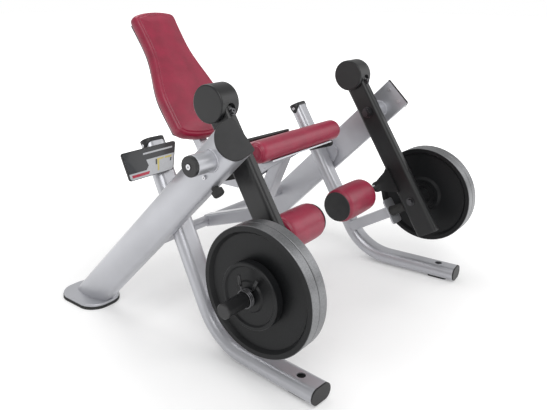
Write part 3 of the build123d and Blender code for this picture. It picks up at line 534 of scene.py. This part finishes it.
def padded_shell(loop, thick, settings, place):
    """Closed pad: crowned face, drawn-in seam and bulging wall.

    place(x, y, behind) gives the world point of a place on the pad.
    """
    seam, depth, crown = settings.seam_inset, settings.seam_depth, settings.crown
    last = seam + 0.012
    edge = inward(loop, last)
    centre = sum(point.y for point in loop) / len(loop)
    middle = [Vector((0.0, centre + 0.72 * (point.y - centre))) for point in loop]
    rings = []
    for step in range(12, 0, -1):
        share = (step / 12) ** 1.3
        height = -crown * math.sin(math.pi / 2 * min(1.0, share * 1.6))
        rings.append(([a.lerp(b, share) for a, b in zip(edge, middle)], height))
    wall = [
        (last, 0.0), (seam + 0.007, 0.0006), (seam + 0.003, 0.35 * depth), (seam + 0.0012, depth),
        (seam - 0.0012, depth), (seam - 0.003, 0.6 * depth), (0.72 * seam, 0.45 * depth),
        (0.45 * seam, 0.0045), (0.22 * seam, 0.0090), (0.06 * seam, 0.0155),
        (-0.0008, 0.40 * thick), (-0.0016, 0.55 * thick), (-0.0008, 0.72 * thick),
        (0.0015, 0.88 * thick), (0.006, 0.97 * thick), (0.014, thick),
    ]
    rings += [(inward(loop, inset), behind) for inset, behind in wall]
    back = inward(loop, 0.014)
    for step in range(1, 5):
        rings.append(([a.lerp(b, step / 4) for a, b in zip(back, middle)], thick))
    count = len(loop)
    verts = [place(point.x, point.y, behind) for ring, behind in rings for point in ring]
    faces = ring_faces(len(rings), count)
    seam_line = [place(point.x, point.y, 0.0006) for point in inward(loop, seam + 0.0075)]
    return verts, faces, seam_line


def ruffle(piece, size, amount, seed):
    """Moves a piece's points slightly along their normals, as foam under vinyl does."""
    offset = Vector((seed, seed * 1.7, -seed))
    for vertex in piece.data.vertices:
        wave = noise.noise(vertex.co / size + offset)
        vertex.co += vertex.normal * wave * amount


def on_seat():
    """Function giving the world point of a place on the main cushion."""
    low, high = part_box("seat_cushion")
    rear_top_z = low.z + SEAT_THICK * math.cos(SEAT_SLOPE)
    front_y = high.y - SEAT_LENGTH * math.cos(SEAT_SLOPE)
    front_z = rear_top_z + SEAT_LENGTH * math.sin(SEAT_SLOPE)

    def place(x, y, behind):
        up = -behind
        return Vector((
            x,
            front_y + y * math.cos(SEAT_SLOPE) + up * math.sin(SEAT_SLOPE),
            front_z - y * math.sin(SEAT_SLOPE) + up * math.cos(SEAT_SLOPE),
        ))

    return place


def on_back():
    """Function giving the world point of a place on the back pad."""
    low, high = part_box("back_cushion")
    base_y = low.y + PAD_FOOT * math.sin(PAD_TILT)
    base_z = high.z - PAD_HEAD * math.cos(PAD_TILT)

    def place(x, y, behind):
        return Vector((
            x,
            base_y + y * math.sin(PAD_TILT) + behind * math.cos(PAD_TILT),
            base_z + y * math.cos(PAD_TILT) - behind * math.sin(PAD_TILT),
        ))

    return place


def soft_cylinder(centre, x_from, x_to, radius, hole, end_round, around=96):
    """Closed padded cylinder along X with seamed, slightly domed ends."""
    half = [
        (0.0, hole), (0.0, hole + 0.004), (-0.0004, radius * 0.45), (0.0004, radius * 0.7),
        (end_round * 0.16, radius - end_round * 0.8), (end_round * 0.30, radius - end_round * 0.52),
        (end_round * 0.40, radius - end_round * 0.44), (end_round * 0.50, radius - end_round * 0.40),
        (end_round * 0.52, radius - end_round * 0.30), (end_round * 0.80, radius - end_round * 0.10),
        (end_round * 1.25, radius - 0.0006), (end_round * 1.9, radius),
    ]
    length = x_to - x_from
    profile = [(x_from + x, r) for x, r in half]
    steps = 9
    for step in range(1, steps):
        share = step / steps
        x = x_from + half[-1][0] + (length - 2 * half[-1][0]) * share
        profile.append((x, radius + 0.0012 * math.sin(math.pi * share)))
    profile += [(x_to - x, r) for x, r in reversed(half)]
    verts = []
    for x, r in profile:
        for step in range(around):
            turn = 2 * math.pi * step / around
            verts.append(Vector((x, centre[0] + r * math.cos(turn), centre[1] + r * math.sin(turn))))
    faces = []
    rings = len(profile)
    for ring in range(rings):
        following = (ring + 1) % rings
        for step in range(around):
            a = ring * around + step
            b = ring * around + (step + 1) % around
            c = following * around + (step + 1) % around
            d = following * around + step
            faces.append((a, b, c, d))
    return verts, faces


# ---------------------------------------------------------------- geometry nodes
def group_with(name, numbers):
    """An empty geometry node group with named number inputs, an object's own mesh in and a mesh out."""
    tree = bpy.data.node_groups.new(name, "GeometryNodeTree")
    tree.is_modifier = True
    tree.interface.new_socket(name="Geometry", in_out="INPUT", socket_type="NodeSocketGeometry")
    for label, default in numbers.items():
        socket = tree.interface.new_socket(name=label, in_out="INPUT", socket_type="NodeSocketFloat")
        socket.default_value = default
    tree.interface.new_socket(name="Material", in_out="INPUT", socket_type="NodeSocketMaterial")
    tree.interface.new_socket(name="Geometry", in_out="OUTPUT", socket_type="NodeSocketGeometry")
    return tree, tree.nodes.new("NodeGroupInput"), tree.nodes.new("NodeGroupOutput")


def beads_along_line():
    """Tree: flattened beads, evenly spaced and turned along the edges of the mesh it is given."""
    tree, given, result = group_with("beads_along_line", {"Pitch": 0.005, "Length": 0.004, "Width": 0.001})
    curve = node(tree, "GeometryNodeMeshToCurve")
    spaced = node(tree, "GeometryNodeResampleCurve", mode="LENGTH")
    bead = node(tree, "GeometryNodeMeshUVSphere", {"Segments": 8, "Rings": 5, "Radius": 0.5})
    tangent = node(tree, "GeometryNodeInputTangent")
    aim = node(tree, "FunctionNodeAlignRotationToVector", axis="Z")
    size = node(tree, "ShaderNodeCombineXYZ")
    copies = node(tree, "GeometryNodeInstanceOnPoints")
    solid = node(tree, "GeometryNodeRealizeInstances")
    smooth = node(tree, "GeometryNodeSetShadeSmooth")
    finish = node(tree, "GeometryNodeSetMaterial")
    link = tree.links.new
    link(given.outputs["Geometry"], curve.inputs["Mesh"])
    link(curve.outputs["Curve"], spaced.inputs["Curve"])
    link(given.outputs["Pitch"], spaced.inputs["Length"])
    link(spaced.outputs["Curve"], copies.inputs["Points"])
    link(bead.outputs["Mesh"], copies.inputs["Instance"])
    link(tangent.outputs["Tangent"], aim.inputs["Vector"])
    link(aim.outputs["Rotation"], copies.inputs["Rotation"])
    link(given.outputs["Width"], size.inputs["X"])
    link(given.outputs["Width"], size.inputs["Y"])
    link(given.outputs["Length"], size.inputs["Z"])
    link(size.outputs["Vector"], copies.inputs["Scale"])
    link(copies.outputs["Instances"], solid.inputs["Geometry"])
    link(solid.outputs["Geometry"], smooth.inputs["Geometry"])
    link(smooth.outputs["Geometry"], finish.inputs["Geometry"])
    link(given.outputs["Material"], finish.inputs["Material"])
    link(finish.outputs["Geometry"], result.inputs["Geometry"])
    return tree


def lined_beads(name, loops, pitch, length, width, material):
    """Beads along closed loops of world points, as one plain mesh piece."""
    tree = bpy.data.node_groups.get("beads_along_line") or beads_along_line()
    mesh = bpy.data.meshes.new(name + "_line")
    points = []
    edges = []
    for loop in loops:
        base = len(points)
        points.extend(tuple(point) for point in loop)
        edges.extend((base + i, base + (i + 1) % len(loop)) for i in range(len(loop)))
    mesh.from_pydata(points, edges, [])
    holder = bpy.data.objects.new(name + "_line", mesh)
    bpy.context.scene.collection.objects.link(holder)
    modifier = holder.modifiers.new("Beads", "NODES")
    modifier.node_group = tree
    sockets = {item.name: item.identifier for item in tree.interface.items_tree if item.in_out == "INPUT"}
    modifier[sockets["Pitch"]] = pitch
    modifier[sockets["Length"]] = length
    modifier[sockets["Width"]] = width
    modifier[sockets["Material"]] = material
    bpy.context.view_layer.update()
    made = bpy.data.meshes.new_from_object(holder.evaluated_get(bpy.context.evaluated_depsgraph_get()))
    holder.modifiers.clear()
    bpy.data.objects.remove(holder)
    made.name = name
    piece = bpy.data.objects.new(name, made)
    bpy.context.scene.collection.objects.link(piece)
    return piece


def stitches(name, seam_line, settings, material):
    """Sewing thread along a pad's seam."""
    pitch = settings.stitch_pitch
    return lined_beads(name, [seam_line], pitch, pitch * 0.66, settings.stitch_width, material)


def circle(centre, normal, radius, count=72):
    """Closed loop of points round a centre."""
    normal = Vector(normal).normalized()
    side = normal.orthogonal().normalized()
    other = normal.cross(side)
    return [
        Vector(centre) + (side * math.cos(t) + other * math.sin(t)) * radius
        for t in (2 * math.pi * step / count for step in range(count))
    ]


# ---------------------------------------------------------------- operators
class LEGX_OT_finishes(Operator):
    """Makes every finish and gives it to the CAD nodes of its slot"""

    bl_idname = "legx.finishes"
    bl_label = "Finishes"

    def execute(self, context):
        colours = context.scene.legx_colours
        low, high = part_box("right_inner_plate")
        hub = middle_of(low, high)
        silver_powder_coat(colours.silver)
        satin_black_paint(colours.paint)
        enamelled_iron(colours.iron, hub)
        moulded_plastic()
        dull_rubber()
        plated_steel("zinc_steel", (0.62, 0.62, 0.64), 0.25, 0.42, 1.0)
        plated_steel("bright_chrome", (0.80, 0.80, 0.82), 0.10, 0.18, 0.1)
        burgundy_vinyl(colours.vinyl)
        plain_print("placard_grey", (0.52, 0.53, 0.55))
        plain_print("placard_dark", (0.035, 0.037, 0.04))
        plain_print("placard_red", (0.45, 0.03, 0.06))
        plain_print("placard_yellow", (0.62, 0.52, 0.16))
        plated_steel("black_oxide", (0.10, 0.10, 0.105), 0.28, 0.42, 1.0)
        for name, part in frame["nodes"].items():
            if not part.material_slots:
                part.data.materials.append(finish_for(SLOT_OF[name]))
            for slot in part.material_slots:
                slot.material = finish_for(SLOT_OF[name])
            if name.endswith("arm_fasteners"):
                for slot in part.material_slots:
                    slot.material = bpy.data.materials["black_oxide"]
        return {"FINISHED"}


class LEGX_OT_seat(Operator):
    """Makes the main cushion and the front roll of the seat"""

    bl_idname = "legx.seat"
    bl_label = "Seat"

    def execute(self, context):
        settings = context.scene.legx_upholstery
        vinyl = finish_for("burgundy")
        verts, faces, seam_line = padded_shell(seat_plan(), SEAT_THICK, settings, on_seat())
        low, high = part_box("seat_roll")
        centre = middle_of(low, high)
        radius = (high.y - low.y) / 2
        cushion = make_piece("seat_cushion_cover", verts, faces, vinyl)
        for vertex in cushion.data.vertices:
            away = Vector((vertex.co.y - centre[0], vertex.co.z - centre[1]))
            if away.length < radius + CLEAR_OF_ROLL:
                away = away.normalized() * (radius + CLEAR_OF_ROLL)
                vertex.co.y = centre[0] + away.x
                vertex.co.z = centre[1] + away.y
        ruffle(cushion, 0.06, 0.0009, 3.0)
        subdivide(cushion)
        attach(cushion, "frame")
        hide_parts("seat_cushion")

        verts, faces = soft_cylinder(centre, low.x, high.x, radius, 0.0, 0.020)
        roll = make_piece("seat_roll_cover", verts, faces, vinyl)
        ruffle(roll, 0.05, 0.0009, 5.0)
        subdivide(roll)
        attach(roll, "frame")
        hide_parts("seat_roll")
        hem = stitches("seat_stitches", seam_line, settings, vinyl)
        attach(hem, "frame")
        return {"FINISHED"}


class LEGX_OT_back(Operator):
    """Makes the hour-glass back pad with its seam and stitches"""

    bl_idname = "legx.back"
    bl_label = "Back pad"

    def execute(self, context):
        settings = context.scene.legx_upholstery
        vinyl = finish_for("burgundy")
        verts, faces, seam_line = padded_shell(hourglass(), BACK_THICK, settings, on_back())
        pad = make_piece("back_pad_cover", verts, faces, vinyl)
        ruffle(pad, 0.07, 0.0010, 9.0)
        subdivide(pad)
        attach(pad, "back_pad")
        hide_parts("back_cushion")
        hem = stitches("back_stitches", seam_line, settings, vinyl)
        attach(hem, "back_pad")
        return {"FINISHED"}


class LEGX_OT_rollers(Operator):
    """Makes the foam leg rollers"""

    bl_idname = "legx.rollers"
    bl_label = "Leg rollers"

    def execute(self, context):
        vinyl = finish_for("burgundy")
        for side, _ in SIDES:
            low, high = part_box(f"{side}_roller")
            centre = middle_of(low, high)
            verts, faces = soft_cylinder(centre, low.x, high.x, (high.y - low.y) / 2, 0.0156, 0.018)
            roller = make_piece(f"{side}_roller_cover", verts, faces, vinyl)
            ruffle(roller, 0.045, 0.0008, 11.0 if side == "left" else 12.0)
            subdivide(roller)
            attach(roller, f"{side}_roller")
            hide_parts(f"{side}_roller")
        return {"FINISHED"}


class LEGX_OT_collars(Operator):
    """Winds the spring wire collars that hold the plates on"""

    bl_idname = "legx.collars"
    bl_label = "Spring collars"

    def execute(self, context):
        settings = context.scene.legx_fittings
        dark = bpy.data.materials["black_oxide"]
        plastic = finish_for("black_plastic")
        centre = middle_of(*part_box("right_inner_plate"))
        horn_low, horn_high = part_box("right_horn_cap")
        radius = (horn_high.y - horn_low.y) / 2 + settings.wire + 0.0005
        for side, out in SIDES:
            low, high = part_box(f"{side}_collar")
            start = low.x if out > 0 else high.x
            wire = []
            first, last = 62.0, 98.0 + 360.0 * (settings.turns - 0.25)
            steps = 120
            for step in range(steps + 1):
                share = step / steps
                turn = math.radians(first + (last - first) * share)
                wire.append(Vector((
                    start + out * (settings.wire + COIL_SPAN * share),
                    centre[0] - math.cos(turn) * radius,
                    centre[1] + math.sin(turn) * radius,
                )))
            handles = []
            sleeves = []
            for end, neighbour in ((wire[0], wire[1]), (wire[-1], wire[-2])):
                radial = Vector((0.0, end.y - centre[0], end.z - centre[1])).normalized()
                leave = (end - neighbour).normalized()
                bend = end + leave * 0.004 + radial * 0.004
                tip = bend + radial * 0.046 + Vector((out * 0.006, 0, 0))
                handles.append([bend, bend.lerp(tip, 0.5), tip])
                sleeves.append([bend.lerp(tip, 0.30), bend.lerp(tip, 0.62), tip + radial * 0.004])
            path = list(reversed(handles[0])) + wire + handles[1]
            verts, faces = tube(path, settings.wire, 12)
            coil = make_piece(f"{side}_collar_wire", verts, faces, dark)
            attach(coil, f"{side}_collar")
            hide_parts(f"{side}_collar")
            verts, faces = merge([tube(line, settings.wire + 0.0028, 16) for line in sleeves])
            grips = make_piece(f"{side}_collar_sleeves", verts, faces, plastic)
            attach(grips, f"{side}_collar")
        return {"FINISHED"}


def bowed_circle(out, outer_x, centre_y, centre_z, radius):
    """Circle round the pivot housing, laid on the strut's bowed outboard face."""
    loop = []
    for step in range(96):
        turn = 2 * math.pi * step / 96
        across = radius * math.sin(turn)
        along = radius * math.cos(turn)
        x = outer_x - across * across / (2 * STRUT_BOW)
        loop.append(Vector((
            out * x,
            centre_y + (across - along) * math.sqrt(0.5),
            centre_z + (across + along) * math.sqrt(0.5),
        )))
    return loop


class LEGX_OT_welds(Operator):
    """Runs rippled weld beads round the frame's tube joints"""

    bl_idname = "legx.welds"
    bl_label = "Welds"

    def execute(self, context):
        settings = context.scene.legx_fittings
        silver = finish_for("frame_silver")
        loops = []
        strut_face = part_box("right_strut")[1].x
        tube_low, tube_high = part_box("right_pivot_housing")
        centre_y, centre_z = middle_of(tube_low, tube_high)
        housing = (tube_high.y - tube_low.y) / 2
        cross_low, cross_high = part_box("rear_cross_tube")
        cross = middle_of(cross_low, cross_high)
        cross_r = (cross_high.y - cross_low.y) / 2
        inner_x = cross_high.x
        for _, out in SIDES:
            loops.append(circle((out * inner_x, centre_y, centre_z), (1, 0, 0), housing + TOE))
            loops.append(bowed_circle(out, strut_face, centre_y, centre_z, housing + TOE))
            loops.append(circle((out * inner_x, *cross), (1, 0, 0), cross_r + TOE))
        bead = lined_beads(
            "frame_welds", loops, settings.ripple, settings.bead * 1.1, settings.bead * 2, silver
        )
        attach(bead, "frame")
        return {"FINISHED"}


PLACARD_AREAS = (
    ("placard_panel", "placard_grey", 0.0002, [
        (-0.47, -0.5), (0.47, -0.5), (0.5, -0.44), (0.5, 0.44), (0.47, 0.5), (-0.47, 0.5), (-0.5, 0.44),
        (-0.5, -0.44)]),
    ("placard_block", "placard_dark", 0.0006, [
        (-0.5, -0.27), (-0.12, -0.27), (-0.06, -0.12), (-0.10, 0.12), (-0.12, 0.5), (-0.47, 0.5),
        (-0.5, 0.44)]),
    ("placard_band", "placard_dark", 0.0006, [
        (-0.10, 0.10), (0.5, 0.10), (0.5, 0.44), (0.47, 0.5), (-0.12, 0.5)]),
    ("placard_rule", "placard_grey", 0.0009, [(-0.14, 0.30), (0.45, 0.30), (0.45, 0.36), (-0.14, 0.36)]),
    ("placard_stripe", "placard_red", 0.0006, [
        (-0.45, -0.43), (-0.08, -0.43), (-0.05, -0.33), (-0.45, -0.33)]),
    ("placard_corner", "placard_yellow", 0.0006, [
        (0.13, -0.40), (0.165, -0.40), (0.175, -0.01), (0.27, -0.01), (0.27, 0.045), (0.13, 0.045)]),
    ("placard_dash", "placard_yellow", 0.0006, [(0.30, -0.02), (0.44, -0.02), (0.45, 0.045), (0.30, 0.045)]),
    ("placard_tick", "placard_dark", 0.0009, [(0.09, -0.16), (0.12, -0.16), (0.125, 0.03), (0.095, 0.03)]),
    ("placard_tick_low", "placard_dark", 0.0009, [
        (0.41, -0.16), (0.44, -0.16), (0.45, -0.05), (0.42, -0.05)]),
)


def placard_frame():
    """Function giving world points on the placard's face, and the face's normal."""
    low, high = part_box("placard")
    normal = Vector((0.0, -math.sin(PLACARD_RISE), math.cos(PLACARD_RISE)))
    up = Vector((0.0, math.cos(PLACARD_RISE), math.sin(PLACARD_RISE)))
    points = [vertex.co for vertex in frame["nodes"]["placard"].data.vertices]
    front = max(point.dot(normal) for point in points)
    heights = [point.dot(up) for point in points if point.dot(normal) > front - 0.0005]
    top, foot = max(heights), min(heights)
    middle = (low.x + high.x) / 2

    def at(across, upward, lift):
        narrowing = 1.0 - (1.0 - PLACARD_TAPER) * (0.5 - upward)
        place = up * ((top + foot) / 2 + upward * 0.96 * (top - foot)) + normal * (front + lift)
        return place + Vector((middle + across * 0.965 * PLACARD_WIDE * narrowing, 0.0, 0.0))

    return at, normal


class LEGX_OT_placard(Operator):
    """Makes the plain instruction placard with its generic coloured areas"""

    bl_idname = "legx.placard"
    bl_label = "Placard"

    def execute(self, context):
        at, normal = placard_frame()
        for name, finish, lift, outline in PLACARD_AREAS:
            points = [at(across, upward, lift) for across, upward in outline]
            piece = make_piece(name, points, [tuple(range(len(points)))], bpy.data.materials[finish], False)
            if piece.data.polygons[0].normal.dot(normal) < 0:
                piece.data.flip_normals()
            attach(piece, "frame")
        for slot in frame["nodes"]["placard"].material_slots:
            slot.material = finish_for("black_plastic")
        return {"FINISHED"}


def leg_section(turn, grow):
    """Point of the leg's flat oval section, grown outward: (across, deep)."""
    straight = LEG_HALF_WIDE - LEG_HALF_DEEP
    across = math.copysign(straight, math.cos(turn)) + (LEG_HALF_DEEP + grow) * math.cos(turn)
    return across, (LEG_HALF_DEEP + grow) * math.sin(turn)


class LEGX_OT_leg_caps(Operator):
    """Makes the moulded caps of the legs' upper ends, deeper at their two narrow sides"""

    bl_idname = "legx.leg_caps"
    bl_label = "Leg caps"

    def execute(self, context):
        plastic = finish_for("black_plastic")
        steel = finish_for("bright_steel")
        around = 96
        for side, out in SIDES:
            wide = Vector((out, LEG_SPLAY, 0.0)).normalized()
            along = Vector((-out * LEG_SPLAY, 1.0, 0.0)).normalized()
            axis = along * math.cos(LEG_RISE) + Vector((0.0, 0.0, math.sin(LEG_RISE)))
            deep = axis.cross(wide)
            centre = Vector((out * LEG_TOP_AT[0], LEG_TOP_AT[1], LEG_TOP_AT[2]))
            rings = (
                (-0.0285, 0.0140, False), (-0.0140, 0.0140, False), (-0.0030, 0.0136, False),
                (0.0008, 0.0120, False), (0.0022, 0.0090, False), (0.0024, 0.0, False),
                (0.0024, 0.0, True), (0.0002, 0.0, True),
            )
            verts = []
            for grow, height, skirt in rings:
                for step in range(around):
                    turn = 2 * math.pi * (step + 0.5) / around
                    across, thick = leg_section(turn, grow)
                    rise = height
                    if skirt:
                        rise = -0.004 - CAP_SKIRT * abs(math.cos(turn)) ** 3
                    verts.append(centre + wide * across + deep * thick + axis * rise)
            faces = [tuple(range(around))] + ring_faces(len(rings), around)
            cap = make_piece(f"{side}_leg_top_cap", verts, faces, plastic)
            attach(cap, "frame")
            heads = []
            for end in (-1, 1):
                spot = centre + wide * end * (LEG_HALF_WIDE + 0.0018) - axis * 0.010
                heads.append(button(spot, wide * end, 0.0075, 0.0035))
            screws = make_piece(f"{side}_leg_cap_screws", *merge(heads), steel)
            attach(screws, "frame")
        return {"FINISHED"}


def button(place, out, radius, height):
    """Domed screw head with a recess: verts and faces."""
    side = out.orthogonal().normalized()
    other = out.cross(side)
    profile = (
        (radius, 0.0), (radius, 0.45 * height), (0.86 * radius, 0.8 * height), (0.55 * radius, height),
        (0.46 * radius, height), (0.42 * radius, 0.45 * height),
    )
    around = 24
    verts = []
    for r, rise in profile:
        for step in range(around):
            turn = 2 * math.pi * step / around
            verts.append(place + (side * math.cos(turn) + other * math.sin(turn)) * r + out * rise)
    faces = [tuple(range(around)), tuple(range(len(verts) - around, len(verts)))]
    return verts, faces + ring_faces(len(profile), around)


class LEGX_OT_seat_shade_strip(Operator):
    """Makes a black strip behind the seat roll: painted shade, a dark piece put where the cushion's edge
    lies in shade
    """

    bl_idname = "legx.seat_trim"
    bl_label = "Seat shade strip"

    def execute(self, context):
        low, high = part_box("seat_roll")
        y = high.y + 0.0125
        z = high.z - 0.0065
        # Painted shade: the black strip stands for the shaded edge behind the roll, so it runs from the
        # roll's left end only to just past the middle.
        left, right = low.x + 0.004, 0.014
        points = []
        radii = []
        swell = (
            (0.0, 0.45), (0.008, 0.8), (0.02, 1.0), (0.5, 0.9), (0.98, 0.75), (0.992, 0.6), (1.0, 0.3),
        )
        for share, size in swell:
            points.append(Vector((left + (right - left) * share, y, z - 0.005 * share)))
            radii.append(0.0085 * size)
        verts, faces = tube(points, radii, 20)
        shade_strip = make_piece("seat_trim", verts, faces, finish_for("black_plastic"))
        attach(shade_strip, "frame")
        return {"FINISHED"}


class LEGX_OT_grips(Operator):
    """Moulds ribs round the rubber hand grips"""

    bl_idname = "legx.grips"
    bl_label = "Hand grips"

    def execute(self, context):
        settings = context.scene.legx_fittings
        low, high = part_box("hand_grips")
        loops = []
        along = Vector((0.0, math.cos(SEAT_SLOPE), -math.sin(SEAT_SLOPE)))
        radius = 0.016
        front = Vector((0.0, low.y + radius * math.sin(SEAT_SLOPE), high.z - radius * math.cos(SEAT_SLOPE)))
        length = (high.y - low.y) / math.cos(SEAT_SLOPE) - 2 * radius * math.tan(SEAT_SLOPE)
        for out in (-1, 1):
            x = out * (high.x - radius)
            for rib in range(settings.grip_ribs):
                place = front + along * (length * (rib + 1) / (settings.grip_ribs + 1))
                loops.append(circle((x, place.y, place.z), along, radius, 40))
        ribs = lined_beads("hand_grip_ribs", loops, 0.0025, 0.0028, 0.0022, finish_for("rubber"))
        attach(ribs, "frame")
        return {"FINISHED"}


class LEGX_OT_stage(Operator):
    """Makes the floor, lamps, world and camera"""

    bl_idname = "legx.stage"
    bl_label = "Stage"

    def execute(self, context):
        scene = context.scene
        floor_mesh = bpy.data.meshes.new("floor")
        reach = 30.0
        corners = [(-reach, -reach, 0), (reach, -reach, 0), (reach, reach, 0), (-reach, reach, 0)]
        floor_mesh.from_pydata(corners, [], [(0, 1, 2, 3)])
        floor = bpy.data.objects.new("floor", floor_mesh)
        scene.collection.objects.link(floor)
        floor_mesh.materials.append(pale_floor())

        world = bpy.data.worlds.new("pale_room")
        scene.world = world
        world.use_nodes = True
        tree = world.node_tree
        tree.nodes.clear()
        rays = node(tree, "ShaderNodeLightPath")
        seen = node(tree, "ShaderNodeMath", operation="MAXIMUM")
        tree.links.new(rays.outputs["Is Camera Ray"], seen.inputs[0])
        tree.links.new(rays.outputs["Is Transmission Ray"], seen.inputs[1])
        room = node(tree, "ShaderNodeBackground", {"Color": (1, 1, 1, 1), "Strength": 0.55})
        white = node(tree, "ShaderNodeBackground", {"Color": (1, 1, 1, 1), "Strength": 1.0})
        mix = node(tree, "ShaderNodeMixShader")
        out = node(tree, "ShaderNodeOutputWorld")
        tree.links.new(seen.outputs["Value"], mix.inputs["Fac"])
        tree.links.new(room.outputs["Background"], mix.inputs[1])
        tree.links.new(white.outputs["Background"], mix.inputs[2])
        tree.links.new(mix.outputs["Shader"], out.inputs["Surface"])

        softbox("key_softbox", (-2.2, -2.4, 3.4), (0.1, -0.1, 0.5), 2.6, 75.0)
        softbox("fill_softbox", (2.8, -2.6, 2.2), (0.0, 0.0, 0.5), 2.4, 32.0)
        softbox("top_softbox", (0.3, 1.8, 3.8), (0.0, 0.1, 0.5), 2.6, 55.0)

        camera = bpy.data.cameras.new("camera")
        camera.lens = 41.1
        camera.sensor_width = 36.0
        camera.shift_x = 0.0445
        camera.shift_y = -0.1745
        holder = bpy.data.objects.new("camera", camera)
        scene.collection.objects.link(holder)
        holder.location = (-2.1548, -1.7003, 1.3489)
        holder.rotation_euler = Vector((0.7585, 0.6234, -0.1896)).to_track_quat("-Z", "Y").to_euler()
        scene.camera = holder
        scene.view_settings.view_transform = "Standard"
        return {"FINISHED"}


def pale_floor():
    """White floor that keeps the machine's shadow."""
    material, tree, shader = blank("pale_floor")
    scuff = grain(tree, 3.0, 3.0)
    shade = ramp(tree, scuff.outputs["Fac"], (0.80, 0.80, 0.80), (0.82, 0.82, 0.82))
    tree.links.new(shade, shader.inputs["Base Color"])
    shader.inputs["Roughness"].default_value = 0.7
    shader.inputs["Specular IOR Level"].default_value = 0.1
    rays = node(tree, "ShaderNodeLightPath")
    seen = node(tree, "ShaderNodeMath", operation="MAXIMUM")
    tree.links.new(rays.outputs["Is Camera Ray"], seen.inputs[0])
    tree.links.new(rays.outputs["Is Glossy Ray"], seen.inputs[1])
    coords = node(tree, "ShaderNodeTexCoord")
    reach = node(tree, "ShaderNodeVectorMath", operation="LENGTH")
    tree.links.new(coords.outputs["Object"], reach.inputs[0])
    far = node(tree, "ShaderNodeMapRange", {
        "From Min": 0.6, "From Max": 2.6, "To Min": NEAR_GLOW, "To Max": FAR_GLOW,
    })
    far.interpolation_type = "SMOOTHSTEP"
    tree.links.new(reach.outputs["Value"], far.inputs["Value"])
    glow = node(tree, "ShaderNodeMath", operation="MULTIPLY")
    tree.links.new(seen.outputs["Value"], glow.inputs[0])
    tree.links.new(far.outputs["Result"], glow.inputs[1])
    tree.links.new(glow.outputs["Value"], shader.inputs["Emission Strength"])
    shader.inputs["Emission Color"].default_value = (1, 1, 1, 1)
    return material


def softbox(name, place, target, size, power):
    """A square area lamp aimed at a point."""
    lamp = bpy.data.lights.new(name, "AREA")
    lamp.energy = power
    lamp.size = size
    holder = bpy.data.objects.new(name, lamp)
    bpy.context.scene.collection.objects.link(holder)
    holder.location = place
    holder.rotation_euler = (Vector(target) - Vector(place)).to_track_quat("-Z", "Y").to_euler()


class LEGX_PT_panel(Panel):
    """Sizes, colours and pieces of the leg extension machine"""

    bl_label = "Leg Extension Machine"
    bl_space_type = "VIEW_3D"
    bl_region_type = "UI"
    bl_category = "Leg Extension"

    def draw(self, context):
        scene = context.scene
        for settings in (scene.legx_upholstery, scene.legx_fittings, scene.legx_colours):
            box = self.layout.box()
            for name in settings.__annotations__:
                box.prop(settings, name)
        for operator in OPERATORS:
            self.layout.operator(operator.bl_idname)


OPERATORS = (
    LEGX_OT_finishes,
    LEGX_OT_seat,
    LEGX_OT_back,
    LEGX_OT_rollers,
    LEGX_OT_collars,
    LEGX_OT_welds,
    LEGX_OT_grips,
    LEGX_OT_placard,
    LEGX_OT_leg_caps,
    LEGX_OT_seat_shade_strip,
    LEGX_OT_stage,
)
CLASSES = (UpholsterySettings, FittingSettings, ColourSettings, *OPERATORS, LEGX_PT_panel)


def register():
    """Adds the classes and their settings to Blender."""
    for item in CLASSES:
        bpy.utils.register_class(item)
    bpy.types.Scene.legx_upholstery = PointerProperty(type=UpholsterySettings)
    bpy.types.Scene.legx_fittings = PointerProperty(type=FittingSettings)
    bpy.types.Scene.legx_colours = PointerProperty(type=ColourSettings)


def unregister():
    """Takes them out again."""
    del bpy.types.Scene.legx_colours
    del bpy.types.Scene.legx_fittings
    del bpy.types.Scene.legx_upholstery
    for item in reversed(CLASSES):
        bpy.utils.unregister_class(item)


def main():
    """Builds the whole machine's looks."""
    register()
    bpy.ops.legx.finishes()
    bpy.ops.legx.seat()
    bpy.ops.legx.back()
    bpy.ops.legx.rollers()
    bpy.ops.legx.collars()
    bpy.ops.legx.welds()
    bpy.ops.legx.grips()
    bpy.ops.legx.placard()
    bpy.ops.legx.leg_caps()
    bpy.ops.legx.seat_trim()
    bpy.ops.legx.stage()


if __name__ == "__main__":
    main()
